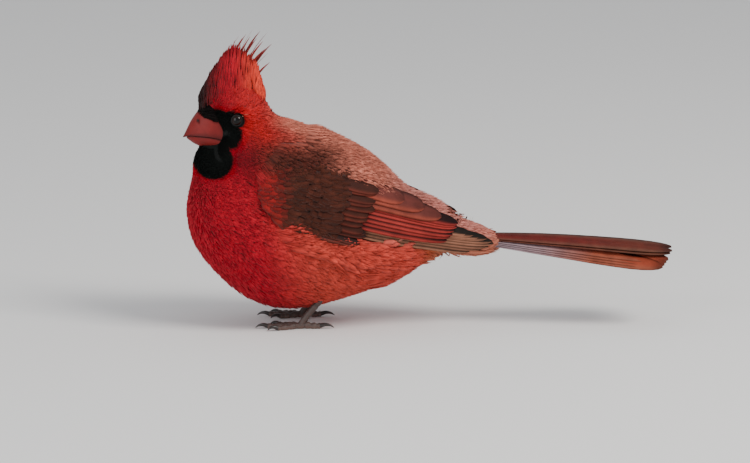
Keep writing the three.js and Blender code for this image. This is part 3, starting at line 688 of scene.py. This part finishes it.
def web_tint(count, run, across, dark, edge, tone, start=0.05, end=0.6):
    """Colour across each vane: dark web, open edge, darker towards the root and the very tip."""
    ring = np.concatenate([across, across[1:-1][::-1]])
    amount = smooth(start, end, ring)[None, :, None]
    shade = linear(dark) + (linear(edge) - linear(dark)) * amount
    fade = np.interp(run, [0, 0.35, 0.9, 1], [0.6, 1.0, 1.05, 0.8])[:, None, None]
    return tone[:, None, None, None] * (shade * fade)[None]


def nearest_place(points):
    """The skin unwrap's place nearest to each point."""
    coarse = skin_rings[::3, ::2]
    unwrap = skin_map(skin_places, skin_angles)[::3, ::2].reshape(-1, 2)
    gaps = np.linalg.norm(points[:, None] - coarse.reshape(-1, 3)[None], axis=-1)
    return unwrap[gaps.argmin(1)]


def wing_pair(name, rings, tint, length, width, material=wing_plumage):
    """The same feathers on both wings."""
    for side, label in ((1, "left"), (-1, "right")):
        shown = rings if side == 1 else (rings * np.array([1, -1, 1]))[:, :, ::-1]
        colours = tint if side == 1 else tint[:, :, ::-1]
        places = nearest_place(shown[:, 0].mean(1))
        piece = coat_piece(f"{name}_{label}", shown, places, length, width, colours, material)
        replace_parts(piece, f"wing_{label}")


def tier_feathers(name, tiers, stray):
    """All the feathers of some tiers as one piece a side, their tips astray by a normal draw."""
    all_rings, all_tint, all_length, all_width = [], [], [], []
    for count, root_a, root_b, tip_a, tip_b, bulge, half, level, dark, edge in tiers.values():
        s = np.linspace(0, 1, count)[:, None]
        roots = np.array(root_a) * (1 - s) + np.array(root_b) * s
        tips = np.array(tip_a) * (1 - s) + np.array(tip_b) * s
        tips = tips + rng.normal(0, stray, tips.shape)
        tips[:, 0] += bulge * np.sin(np.pi * s[:, 0] ** 1.3)
        level = level - 0.06 * np.arange(count)
        halves = half * rng.uniform(0.94, 1.06, count)
        rings = wing_vanes(roots, tips, halves, 0.45 * level, level, VANE_RUN, VANE_OUTLINE, VANE_ACROSS)
        tone = rng.uniform(0.7, 1.15, count)
        all_rings.append(rings)
        all_tint.append(web_tint(count, VANE_RUN, VANE_ACROSS, dark, edge, tone, 0.25, 0.8))
        all_length.append(np.linalg.norm(tips - roots, axis=-1))
        all_width.append(2 * halves)
    wing_pair(name, np.concatenate(all_rings), np.concatenate(all_tint), np.concatenate(all_length),
              np.concatenate(all_width))


tier_feathers("flight_feathers", FLIGHT_TIERS, 0.35)
tier_feathers("large_coverts", COVERT_TIERS, 0.77)


# Wing pad: the flesh and small coverts of the folded wing's arm, a low cushion on the shoulder, with
# small soft feathers laid over it in rows from front to back.
COVERT_ROWS, COVERT_LINES = 17, 17
COVERT_LONG, COVERT_WIDE = 7.0, 3.2


def pad_point(along, across):
    """Side-view place on the pad from its length share and its share across."""
    down = np.array([PAD_WAY[1], -PAD_WAY[0]])
    forth = PAD_WAY * (PAD_LENGTH * along)[..., None]
    return PAD_FRONT + forth + down * (pad_half(along) * across)[..., None]


pad_along, pad_across = np.meshgrid(np.linspace(0, 1, 26), np.linspace(-1, 1, 17), indexing="ij")
pad_places = pad_point(pad_along, pad_across)
pad_top = wing_seat(pad_places[..., 0], pad_places[..., 1],
                    pad_level(pad_places[..., 0], pad_places[..., 1]) - 0.55)
pad_under = wing_seat(pad_places[..., 0], pad_places[..., 1], np.full(pad_along.shape, -1.6))
pad_rings = np.concatenate([pad_top, pad_under[:, 1:-1][:, ::-1]], 1)[None]
pad_tint = np.broadcast_to(linear("#4A241E"), pad_rings.shape)
wing_pair("wing_pad", pad_rings, pad_tint, np.array([38.0]), np.array([28.0]), body_plumage)

row, line = np.meshgrid(np.linspace(-0.02, 0.72, COVERT_ROWS), np.linspace(-0.94, 0.94, COVERT_LINES),
                        indexing="ij")
row = (row + rng.uniform(-0.025, 0.025, row.shape)).ravel()
line = (line + rng.uniform(-0.06, 0.06, line.shape)).ravel()
covert_roots = pad_point(row, np.clip(line, -0.97, 0.97))
covert_count = len(covert_roots)
aim = np.radians(-14 + rng.normal(0, 9, covert_count) - 10 * line)
covert_long = COVERT_LONG * rng.uniform(0.8, 1.15, covert_count) * (0.75 + 0.5 * row)
covert_tips = covert_roots + np.stack([np.cos(aim), np.sin(aim)], -1) * covert_long[:, None]
covert_half = COVERT_WIDE / 2 * rng.uniform(0.8, 1.2, covert_count)
covert_high = 0.35 + 1.5 * smooth(-50, -38, covert_tips[:, 0]) + rng.uniform(-0.15, 0.3, covert_count)
covert_rings = wing_vanes(covert_roots, covert_tips, covert_half, np.full(covert_count, -0.6), covert_high,
                          SHORT_RUN, SHORT_OUTLINE, SHORT_ACROSS, 1.0)
covert_tone = rng.uniform(0.75, 1.25, covert_count)
# The small coverts' dark brown is partly their dusky colour and partly painted shade; the front ones are red.
covert_tint = web_tint(covert_count, SHORT_RUN, SHORT_ACROSS, "#3A1A12", "#582A1C", covert_tone, -0.3, 1.0)
red_front = smooth(-60, -72, covert_roots[:, 0])[:, None, None, None]
red_covert = linear("#9C1A1C") * covert_tone[:, None, None, None]
covert_tint = covert_tint + (red_covert - covert_tint) * red_front * 0.8
wing_pair("small_coverts", covert_rings, covert_tint, covert_long, 2 * covert_half, body_plumage)


# Tail: twelve long stiff feathers, the middle pair on top. On the left the four outer ones have
# slipped down together and show as a second band with a slit between.
TAIL_PAIRS = 6
TAIL_ROOT, TAIL_TIP = (23.2, 0.8, 38.4), (105.0, 2.2, 32.2)
TAIL_ROOT_SPREAD, TAIL_TIP_SPREAD, TAIL_SHORTER = 0.55, 1.75, 0.9
TAIL_SAG, TAIL_STEP, TAIL_HALF, TAIL_ROLL = 0.7, 0.42, 5.2, 2.2
TAIL_TILT = 12
SLIP_FROM, SLIP_DROP, SLIP_OUTWARD, SLIP_ROLL = 2, 1.2, 1.0, 10
TAIL_OUTLINE = np.array([0.5, 0.58, 0.74, 0.88, 0.94, 0.98, 1.0, 0.97, 0.86, 0.7, 0.5, 0.2])

tail_side = np.repeat([-1.0, 1.0], TAIL_PAIRS)
tail_k = np.tile(np.arange(TAIL_PAIRS), 2).astype(float)
all_tail = np.ones(len(tail_k))
slipped = (tail_side < 0) & (tail_k >= SLIP_FROM)
tail_roots = np.stack([
    TAIL_ROOT[0] * all_tail,
    tail_side * (TAIL_ROOT[1] + TAIL_ROOT_SPREAD * tail_k),
    TAIL_ROOT[2] - TAIL_STEP * tail_k,
], -1)
tail_tips = np.stack([
    TAIL_TIP[0] - TAIL_SHORTER * tail_k,
    tail_side * (TAIL_TIP[1] + TAIL_TIP_SPREAD * tail_k + SLIP_OUTWARD * slipped),
    TAIL_TIP[2] - TAIL_STEP * tail_k - SLIP_DROP * slipped,
], -1)
turn = np.radians((TAIL_ROLL * tail_k + SLIP_ROLL * slipped)[:, None] * np.minimum(1, VANE_RUN * 1.6)[None])
across_way = np.stack([np.zeros_like(turn), -np.cos(turn), -np.sin(turn) * -tail_side[:, None]], -1)
up_way = np.stack([np.zeros_like(turn), tail_side[:, None] * np.sin(turn), np.cos(turn)], -1)
rachis = tail_roots[:, None] + (tail_tips - tail_roots)[:, None] * VANE_RUN[None, :, None]
rachis[..., 2] += TAIL_SAG * np.sin(np.pi * VANE_RUN)
tail_u = VANE_ACROSS[None, None, :, None]
tail_half = TAIL_HALF * TAIL_OUTLINE[None, :, None, None]
tail_seats = rachis[:, :, None] + across_way[:, :, None] * tail_half * tail_u
over = tail_seats + up_way[:, :, None] * (0.1 + 0.22 * (1 - np.abs(tail_u)))
under = (tail_seats - up_way[:, :, None] * 0.08)[:, :, 1:-1][:, :, ::-1]
tail_rings = np.concatenate([over, under], 2)
tilt_cos, tilt_sin = math.cos(math.radians(TAIL_TILT)), math.sin(math.radians(TAIL_TILT))
pivot_z = (TAIL_ROOT[2] + TAIL_TIP[2]) / 2
tail_y, tail_z = tail_rings[..., 1].copy(), tail_rings[..., 2] - pivot_z
tail_rings[..., 1] = tail_y * tilt_cos - tail_z * tilt_sin
tail_rings[..., 2] = tail_y * tilt_sin + tail_z * tilt_cos + pivot_z
ring_u = np.concatenate([VANE_ACROSS, VANE_ACROSS[1:-1][::-1]])
outer_web = smooth(0.1, 0.9, ring_u[None, :] * -tail_side[:, None])[:, None, :, None]
along_tail = VANE_RUN[None, :, None, None]
plain = linear("#5A1610") + (linear("#582418") - linear("#5A1610")) * smooth(0.4, 0.9, along_tail)
loose = linear("#A48C96") + (linear("#8E3C28") - linear("#A48C96")) * smooth(0.2, 0.6, along_tail)
tail_tint = np.where(slipped[:, None, None, None], loose, plain)
tail_tint = tail_tint + (linear("#6E5A48") - tail_tint) * outer_web * 0.3
tail_tone = np.linspace(1.08, 0.9, 2 * TAIL_PAIRS)[:, None, None, None]
tail_tint = tail_tint * (1 - 0.6 * smooth(0.9, 1.0, along_tail)) * tail_tone
tail_long = np.linalg.norm(tail_tips - tail_roots, axis=-1)
tail = coat_piece("tail_feathers", tail_rings, nearest_place(tail_roots), tail_long,
                  2 * TAIL_HALF * all_tail, tail_tint, wing_plumage)
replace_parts(tail, "tail")


# Crest: long narrow pointed feathers standing up from the crown and swept back, packed into one soft
# peak, with a few longer wisps that stand clear of it.
CREST_FEATHERS = 2600
CREST_ROOTS = np.array([(-97.4, 92.5), (-94, 95.0), (-88, 97), (-81, 97), (-75.5, 95), (-70, 92)])
CREST_TIPS = np.array([(-98.2, 99.5), (-92.8, 109.8), (-87.4, 117.4), (-83.0, 121.3), (-78.0, 118.6),
                       (-73.0, 113.5), (-69.5, 101.5)])
# Wisps: root and tip seen from the side, sideways place of the tip, and how far they bow forward.
WISPS = np.array([
    (-88, 104, -80.9, 124.6, 0.5, 3.2), (-86, 106, -77.8, 125.4, -0.8, 2.8),
    (-84, 104, -74.6, 127.9, 0.2, 3.4), (-82, 106, -71.8, 126.6, 0.9, 3.0),
    (-81, 104, -68.6, 126.2, -0.4, 3.4), (-78, 104, -66.8, 121.2, 0.6, 3.0),
    (-79, 106, -69.4, 119.4, -1.0, 2.2), (-90, 104, -84.0, 121.4, -0.5, 2.0),
    (-85, 106, -79.4, 123.6, 0.8, 2.4), (-83, 106, -76.0, 124.4, -0.3, 2.6),
    (-82, 106, -73.2, 123.6, 0.4, 2.6), (-80, 106, -70.4, 122.6, -0.8, 2.4),
    (-78, 105, -68.4, 117.2, 0.2, 2.0), (-76, 103, -67.6, 113.4, -0.4, 1.8),
    (-87, 105, -82.4, 122.4, 0.3, 2.0),
])
CREST_RUN = np.array([0.0, 0.25, 0.5, 0.72, 0.88, 1.0])
CREST_OUTLINE = np.array([0.7, 1.0, 0.95, 0.7, 0.4, 0.06])


def along_line(line, share):
    """Places on a line of pairs, by share of its count."""
    spots = np.linspace(0, 1, len(line))
    return np.stack([np.interp(share, spots, line[:, 0]), np.interp(share, spots, line[:, 1])], -1)


def crest_feathers(name, start, end, half, bow, colours):
    """Narrow vanes on bowed lines from crown to tip, turned to face outwards."""
    count = len(start)
    bow = np.stack([-bow, start[:, 1] * 0.25, 0.25 * bow], -1)
    middle = (start + end) / 2 + bow
    t = CREST_RUN[None, :, None]
    line = start[:, None] * (1 - t) ** 2 + middle[:, None] * 2 * t * (1 - t) + end[:, None] * t**2
    run = np.gradient(line, axis=1)
    facing = np.arctan2(np.clip(start[:, 1], -4, 4), 0.8) + rng.normal(0, 0.25, count)
    normal = np.stack([0.25 * np.cos(facing), np.sin(facing), 0 * facing], -1)[:, None]
    side = unit(np.cross(run, np.broadcast_to(normal, run.shape)))
    up = unit(np.cross(side, run))
    width = (half[:, None] * CREST_OUTLINE[None])[..., None]
    rings = np.stack([line - side * width, line + up * width * 0.3, line + side * width], 2)
    tint = colours[:, None, None] * np.interp(CREST_RUN, [0, 0.5, 1], [0.6, 0.95, 1.1])[None, :, None, None]
    tint = tint * np.ones(rings.shape[:3] + (1,))
    piece = coat_piece(name, rings, nearest_place(start), np.linalg.norm(end - start, axis=-1), 2 * half,
                       tint, body_plumage)
    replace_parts(piece, "crest")


def crest_colour(share, count):
    """Dark edge at the forehead, partly the black line there and partly painted shade; crimson; then the
    back brightened to orange-red with painted light.
    """
    front, middle, back = linear("#2A0C0A"), linear("#A40E20"), linear("#DE402C")
    colour = front + (middle - front) * smooth(0.04, 0.5, share)[:, None]
    colour = colour + (back - colour) * smooth(0.5, 0.9, share)[:, None]
    return colour * rng.uniform(0.75, 1.15, count)[:, None]


# Roots fill the whole height of the peak: a feather starts part of the way from crown to tip.
share = rng.random(CREST_FEATHERS)
begin = rng.uniform(0.0, 0.72, CREST_FEATHERS)
reach = np.minimum(begin + rng.uniform(0.25, 0.5, CREST_FEATHERS), rng.normal(0.96, 0.05, CREST_FEATHERS))
spread = np.clip(rng.normal(0, 0.75, CREST_FEATHERS), -1, 1)
room = np.sin(np.pi * (0.12 + 0.76 * share))
root_line, tip_line = along_line(CREST_ROOTS, share), along_line(CREST_TIPS, share)
places = [root_line + (tip_line - root_line) * part[:, None] for part in (begin, reach)]
thick = [(4.6 * np.maximum(0, 1 - part) ** 0.8 + 0.9) * spread * room for part in (begin, reach)]
start, end = (np.stack([spot[:, 0], wide, spot[:, 1]], -1) for spot, wide in zip(places, thick))
crest_feathers("crest_feathers", start, end, rng.uniform(0.35, 0.6, CREST_FEATHERS),
               0.05 * (end[:, 2] - start[:, 2]) + 0.2, crest_colour(share, CREST_FEATHERS))
wisp_start = np.stack([WISPS[:, 0], WISPS[:, 4] * 0.5, WISPS[:, 1]], -1)
wisp_end = np.stack([WISPS[:, 2], WISPS[:, 4], WISPS[:, 3]], -1)
crest_feathers("crest_wisps", wisp_start, wisp_end, np.full(len(WISPS), 0.62), WISPS[:, 5],
               np.broadcast_to(linear("#8A1E1A"), (len(WISPS), 3)))


# Bill: a short deep cone of smooth coral horn in two halves, with a mouth line that drops at the gape
# and a small nostril each side near the base. The coral is darkened with painted shade, and painted
# shade makes the mouth line and the nostrils dark.
BILL_TIP, BILL_ROOT_X, MOUTH_Z = (-105.0, 80.8), -86.0, 81.9
GAPE_DROP, UPPER_DEPTH, UPPER_ROOT_X, LOWER_DEPTH, BILL_HALF = 2.2, 13.0, -92.0, 5.0, 6.2
BILL_RINGS, BILL_SIDES = 56, 33
NOSTRIL, NOSTRIL_REACH, NOSTRIL_DEEP = np.array([-98.3, 4.1, 88.6]), 0.95, 0.7
# Horn: smooth and hardly glossy, a little cloudy, with light soaking in a millimetre.
horn, horn_shader = new_material("coral horn", Roughness=0.5, Specular_IOR_Level=0.22,
                                 Subsurface_Weight=0.06, Subsurface_Scale=0.001)
horn_tint = add_node(horn, "ShaderNodeAttribute", attribute_name="tint")
horn_place = add_node(horn, "ShaderNodeTexCoord")
horn_cloud = add_node(horn, "ShaderNodeTexNoise", {"Vector": horn_place.outputs["Object"]},
                      in_Scale=320.0, in_Detail=4.0)
horn_range = add_node(horn, "ShaderNodeMapRange", {"Value": horn_cloud.outputs["Fac"]},
                      in_From_Min=0.3, in_From_Max=0.7, in_To_Min=0.86, in_To_Max=1.12)
horn_shade = add_node(horn, "ShaderNodeVectorMath",
                      {0: horn_tint.outputs["Color"], "Scale": horn_range.outputs["Result"]},
                      operation="SCALE")
horn.node_tree.links.new(horn_shade.outputs[0], horn_shader.inputs["Base Color"])


def bill_width(share):
    """Half width of the bill by its share from root, 0, to tip: B (1 - r^1.8)^0.75."""
    return BILL_HALF * (1 - share**1.8) ** 0.75


def upper_height(share):
    """Height of the upper half above the mouth line: D (1 - r^2.4)^1.25."""
    return UPPER_DEPTH * (1 - share**2.4) ** 1.25


def bill_half(name, upper):
    """One half: arches from gape to tip whose width and height fall to the tip, closed flat at the
    mouth line."""
    end = BILL_TIP[0] if upper else BILL_TIP[0] + 1.6
    x = BILL_ROOT_X + (end - BILL_ROOT_X) * np.linspace(0, 1, BILL_RINGS) ** 0.8
    r = np.clip((x - UPPER_ROOT_X) / (end - UPPER_ROOT_X), 0, 0.995)
    wide = bill_width(r) + 0.25
    inward = np.maximum(0, (x + 97) / 11)
    mouth = BILL_TIP[1] + (MOUTH_Z - BILL_TIP[1]) * np.clip((x - BILL_TIP[0]) / 3, 0, 1)
    mouth = mouth - GAPE_DROP * inward**2
    if upper:
        high = upper_height(r) + 0.35
        angle = np.linspace(np.pi, 0, BILL_SIDES)
    else:
        high = -(LOWER_DEPTH * (1 - r**2.2) ** 0.7 + 0.3)
        angle = np.linspace(0, np.pi, BILL_SIDES)
    base = mouth + (0.15 if upper else -0.15)
    arch = np.clip(np.sin(angle), 0, 1) ** (0.8 if upper else 0.9)
    points = np.stack([
        np.broadcast_to(x[:, None], (BILL_RINGS, BILL_SIDES)),
        wide[:, None] * np.cos(angle),
        base[:, None] + high[:, None] * arch,
    ], -1)
    from_mouth = np.abs(points[..., 2] - mouth[:, None])
    # The horn's coral red, darkened with painted shade.
    tint = np.broadcast_to(linear("#781E1C"), points.shape).copy()
    pale = smooth(0.75, 1.0, arch)[None, :, None] * 0.5
    tint = tint + (linear("#70302C" if upper else "#8A302E") - tint) * pale
    # Painted shade in the crease along the mouth line between the halves.
    tint *= (0.35 + 0.65 * smooth(0.0, 0.8, from_mouth))[..., None]
    tint *= (0.72 + 0.28 * smooth(-104.6, -101.5, points[..., 0]))[..., None]
    if upper:
        from_nostril = np.linalg.norm((points - NOSTRIL) * np.array([1, 0, 1]), axis=-1)
        pit = np.clip(1 - (from_nostril / NOSTRIL_REACH) ** 2, 0, 1) * (np.abs(points[..., 1]) > 1)
        points[..., 1] -= np.sign(points[..., 1]) * pit * NOSTRIL_DEEP
        # Painted shade in the nostril's pit.
        tint *= (1 - 0.9 * smooth(0.1, 0.7, pit))[..., None]
    piece = make_piece(name, points.reshape(-1, 3), vane_faces(1, BILL_RINGS, BILL_SIDES),
                       tint.reshape(-1, 3))
    piece.data.set_sharp_from_angle(angle=math.radians(50))
    piece.data.materials.append(horn)
    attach(piece, "root")
    return piece


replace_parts(bill_half("upper_bill", True), "bill_upper")
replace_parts(bill_half("lower_bill", False), "bill_lower")


# Bristles: stiff little black feathers that grow forward from the forehead over the bill's base and
# hide the nostril's rear edge.
BRISTLES = 420
bristle_angle = np.radians(rng.uniform(24, 156, BRISTLES))
bristle_high = np.sin(bristle_angle)
bristle_tip = np.interp(bristle_high, [0.42, 0.56, 0.8, 1.0], [-91.6, -95.6, -97.6, -98.6])
bristle_root = bristle_tip + 2.0 + (-90.5 - bristle_tip) * rng.random(BRISTLES)
bristle_tip = np.maximum(bristle_tip, bristle_root - 5.0) + rng.uniform(-0.4, 0.3, BRISTLES)
bristle_run = np.linspace(0, 1, 5)
bristle_x = bristle_root[:, None] + (bristle_tip - bristle_root)[:, None] * bristle_run
bristle_r = np.clip((bristle_x - UPPER_ROOT_X) / (BILL_TIP[0] - UPPER_ROOT_X), 0, 0.995)
bristle_lift = 0.3 + 0.55 * np.sin(np.pi * bristle_run) ** 0.7 * rng.uniform(0.5, 1.2, (BRISTLES, 1))
bristle_wide = bill_width(bristle_r) + bristle_lift
bristle_arch = upper_height(bristle_r) + 0.2 + bristle_lift
bristle_line = np.stack([
    bristle_x,
    bristle_wide * np.cos(bristle_angle)[:, None],
    MOUTH_Z + 0.1 + bristle_arch * (bristle_high**0.8)[:, None],
], -1)
bristle_out = np.stack([np.zeros(BRISTLES), np.cos(bristle_angle), bristle_high], -1)[:, None]
bristle_outs = np.broadcast_to(bristle_out, bristle_line.shape)
bristle_side = unit(np.cross(np.gradient(bristle_line, axis=1), bristle_outs))
bristle_half = (0.42 * np.array([0.7, 1.0, 0.9, 0.6, 0.1]))[None, :, None]
bristle_reach = bristle_side * bristle_half
bristle_ridge = bristle_line + bristle_out * bristle_half * 0.5
bristle_rings = np.stack([bristle_line - bristle_reach, bristle_ridge, bristle_line + bristle_reach], 2)
bristle_tint = linear("#100C0B") * rng.uniform(0.6, 1.6, (BRISTLES, 1))
bristle_tint = bristle_tint[:, None, None] * np.ones(bristle_rings.shape[:3] + (1,))
coat_piece("bristles", bristle_rings, nearest_place(bristle_line[:, 0]), np.full(BRISTLES, 5.0),
           np.full(BRISTLES, 0.84), bristle_tint, mask_plumage)


# Eyes: wet dark-brown balls with a black pupil, sunk in a thin dark lid of bare skin.
EYE_RADIUS, LID_RING, LID_OUT, LID_THICK = 2.75, 2.2, 1.65, 0.36
# Wet eye: a mirror-smooth film over near-black brown, kept to a small highlight.
wet = tinted_material("wet eye", Roughness=0.08, Specular_IOR_Level=0.24)
# Bare skin of the lid: black and dull.
lid_skin = new_material("bare lid skin", Base_Color=(*linear("#121212"), 1.0), Roughness=0.6,
                        Specular_IOR_Level=0.2)[0]
EYE_RINGS, EYE_SIDES, LID_RINGS, LID_SIDES = 30, 40, 12, 44


def turned_rings(centre, side, angles, radii, outs):
    """Rings about the eye's outward axis: radius and outward distance for each."""
    around = np.linspace(0, 2 * np.pi, angles, endpoint=False) * side
    x = centre[0] + radii[:, None] * np.cos(around)
    z = centre[2] + radii[:, None] * np.sin(around)
    y = np.broadcast_to((centre[1] - side * outs)[:, None], x.shape)
    return np.stack([x, y, z], -1)


for side, label in ((1, "left"), (-1, "right")):
    centre = EYE_PLACE * np.array([1, side, 1])
    polar = np.linspace(0.02, np.pi - 0.02, EYE_RINGS)
    ball = turned_rings(centre, side, EYE_SIDES, EYE_RADIUS * np.sin(polar), EYE_RADIUS * np.cos(polar))
    iris = linear("#1E0D07") * smooth(0.35, 0.6, polar)[:, None]
    iris = iris * (1 - 0.85 * smooth(0.75, 0.95, polar))[:, None] + 0.002
    ball_tint = np.broadcast_to(iris[:, None], ball.shape)
    eye = make_piece(f"eyeball_{label}", ball.reshape(-1, 3), vane_faces(1, EYE_RINGS, EYE_SIDES),
                     ball_tint.reshape(-1, 3))
    eye.data.materials.append(wet)
    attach(eye, "root")
    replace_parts(eye, f"eye_{label}")
    bead = np.linspace(0, 2 * np.pi, LID_RINGS, endpoint=False)
    lid_radii = LID_RING + LID_THICK * np.cos(bead)
    lid_outs = LID_OUT + LID_THICK * np.sin(bead)
    ring = turned_rings(centre, side, LID_SIDES, lid_radii, lid_outs)
    lid_faces = grid_faces(LID_RINGS + 1, LID_SIDES, True) % (LID_RINGS * LID_SIDES)
    lid = make_piece(f"eyelid_{label}", ring.reshape(-1, 3), [lid_faces])
    lid.data.materials.append(lid_skin)
    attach(lid, "root")


# Legs and feet: dull brown scaled skin over bone; broad plates ring the shank and the tops of the toes,
# and soft pads lie under them. Each toe ends in a curved claw of dark horn.
FOOT_X, FOOT_Y, SHANK_RADIUS, SCUTE = -54.5, 13.0, 1.35, 1.35
TOES = {"inner": (10.5, 4.6, -24, 1.35), "middle": (14.5, 5.4, 3, 1.45), "outer": (11.5, 4.6, 27, 1.35),
        "hind": (8.5, 6.4, 176, 1.5)}
SHANK_STEPS, TOE_STEPS, TUBE_SIDES, CLAW_STEPS, CLAW_SIDES = 60, 64, 18, 22, 14
# Scaled skin: dry and leathery. Claw horn: darker, worn smooth.
leg_skin = tinted_material("scaled leg skin", Roughness=0.55)
claw_horn = new_material("dark claw horn", Base_Color=(*linear("#292321"), 1.0), Roughness=0.32)[0]


def through(knots, t):
    """Smooth line through knots: cubic pieces with slopes from the neighbours."""
    knots = np.concatenate([[2 * knots[0] - knots[1]], knots, [2 * knots[-1] - knots[-2]]])
    at = np.clip(t, 0, 1) * (len(knots) - 3)
    i = np.minimum(at.astype(int), len(knots) - 4)
    f = (at - i)[:, None]
    a, b, c, d = knots[i], knots[i + 1], knots[i + 2], knots[i + 3]
    return 0.5 * (2 * b + (c - a) * f + (2 * a - 5 * b + 4 * c - d) * f**2 + (3 * b - a - 3 * c + d) * f**3)


def scaled_tube(knots, radius, steps, sides):
    """A tube through knots whose radius is given along it; the underside is never below the floor."""
    t = np.linspace(0, 1, steps)
    line = through(knots, t)
    run = unit(np.gradient(line, axis=0))
    level = np.array([0.0, 0.0, 1.0]) if abs(run[0, 2]) < 0.8 else np.array([0.0, 1.0, 0.0])
    over = unit(level - run * (run @ level)[:, None])
    side = np.cross(run, over)
    around = np.linspace(0, 2 * np.pi, sides, endpoint=False)
    ring = -side[:, None] * np.cos(around)[None, :, None] + over[:, None] * np.sin(around)[None, :, None]
    points = line[:, None] + ring * radius[:, None, None]
    points[..., 2] = np.maximum(points[..., 2], 0.0)
    return points


def joined_tubes(name, tubes, tints, material, nodes):
    """Several closed tubes as one piece."""
    faces, start = [], 0
    for tube in tubes:
        steps, sides = tube.shape[:2]
        for part in vane_faces(1, steps, sides):
            faces.append(part + start)
        start += steps * sides
    quads = np.concatenate([part for part in faces if part.shape[1] == 4])
    caps = [part for part in faces if part.shape[1] != 4]
    points = np.concatenate([tube.reshape(-1, 3) for tube in tubes])
    piece = make_piece(name, points, [quads] + caps, None if tints is None else np.concatenate(tints))
    piece.data.materials.append(material)
    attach(piece, "root")
    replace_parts(piece, *nodes)


for side, label in ((-1, "left"), (1, "right")):
    base = np.array([FOOT_X, side * FOOT_Y, 0.0])
    tubes, tints, claws = [], [], []
    knots = base + np.array([(0, 0, 1.6), (3.1, -side * 0.6, 6), (9, -side * 1.5, 13), (12, -side * 2.5, 19)])
    t = np.linspace(0, 1, SHANK_STEPS)
    scutes = np.abs(((t * 18 / SCUTE) % 1) - 0.12) < 0.12
    plated = SHANK_RADIUS * (1.12 - 0.1 * t - 0.09 * scutes)
    tubes.append(scaled_tube(knots, plated, SHANK_STEPS, TUBE_SIDES))
    for name, (long, claw, aim, radius) in TOES.items():
        aim = math.radians(aim)
        way = np.array([-math.cos(aim), side * math.sin(aim), 0.0])
        s = np.linspace(0, 1, 5)[:, None]
        knots = base + way * long * s + np.array([0, 0, 1.0]) * (
            radius * 0.82 + 0.35 * np.sin(np.pi * 2.2 * s) * (1 - s))
        t = np.linspace(0, 1, TOE_STEPS)
        grooves = np.abs(((t * long / SCUTE) % 1) - 0.1) < 0.1
        swell = radius * (1.02 - 0.18 * t + 0.14 * np.cos(np.pi * 6 * t) - 0.07 * grooves)
        swell = swell * np.sqrt(np.clip(1 - ((t - 0.93) / 0.075).clip(0, 1) ** 2, 0.08, 1))
        tubes.append(scaled_tube(knots, swell, TOE_STEPS, TUBE_SIDES))
        f = np.array([0, 0.35, 0.7, 1])[:, None]
        path = base + way * (long - 0.5 + (claw + 0.8) * (f - 0.12 * f**2)) + np.array([0, 0, 1.0]) * (
            radius * 0.82 * (1 - f**2) + 0.75 * np.sin(np.pi * 0.9 * f) + 0.35 * f)
        g = np.linspace(0, 1, CLAW_STEPS)
        claws.append(scaled_tube(path, 0.95 * (1 - g) ** 0.8 + 0.08, CLAW_STEPS, CLAW_SIDES))
    for tube in tubes:
        steps, sides = tube.shape[:2]
        height = smooth(0.3, 1.8, tube[..., 2])[..., None]
        shade = linear("#6B5148") + (linear("#4C3B36") - linear("#6B5148")) * height
        lines = (0.75 + 0.25 * rng.random((steps, 1, 1))) * np.ones((1, sides, 1))
        tints.append((shade * lines).reshape(-1, 3))
    joined_tubes(f"leg_and_toes_{label}", tubes, tints, leg_skin,
                 [f"leg_{label}", f"foot_{label}"])
    joined_tubes(f"claws_{label}", claws, None, claw_horn,
                 [f"claw_{name}_{label}" for name in TOES])


# Floor and light: a plain pale floor, one broad soft lamp from behind and above on the tail's side,
# a weaker one from the bird's front, and a pale surround.
floor_mesh = bpy.data.meshes.new("floor")
FLOOR_CORNERS = [(-3, -3, 0), (3, -3, 0), (3, 3, 0), (-3, 3, 0)]
floor_mesh.from_pydata(FLOOR_CORNERS, [], [(0, 1, 2, 3)])
floor = bpy.data.objects.new("floor", floor_mesh)
bpy.context.scene.collection.objects.link(floor)
floor_paint = new_material("pale floor", Base_Color=(*linear("#E7E6E5"), 1.0), Roughness=0.9)[0]
floor_mesh.materials.append(floor_paint)


def soft_lamp(name, place, aim, size, power, colour):
    """A square area lamp at a place, turned towards its aim."""
    lamp_data = bpy.data.lights.new(name, "AREA")
    lamp_data.size = size
    lamp_data.energy = power
    lamp_data.color = colour
    lamp = bpy.data.objects.new(name, lamp_data)
    lamp.location = place
    towards = Vector(aim) - Vector(place)
    lamp.rotation_euler = towards.to_track_quat("-Z", "Y").to_euler()
    bpy.context.scene.collection.objects.link(lamp)


soft_lamp("key lamp", (0.75, -0.55, 1.0), (-0.03, 0, 0.05), 0.6, 16.0, (1.0, 0.97, 0.92))
soft_lamp("fill lamp", (-0.9, -1.1, 0.5), (-0.05, 0, 0.05), 0.9, 9.0, (0.95, 0.97, 1.0))
world = bpy.data.worlds.new("pale surround")
world.use_nodes = True
world.node_tree.nodes["Background"].inputs["Color"].default_value = (0.9, 0.92, 0.95, 1)
world.node_tree.nodes["Background"].inputs["Strength"].default_value = 0.66
bpy.context.scene.world = world
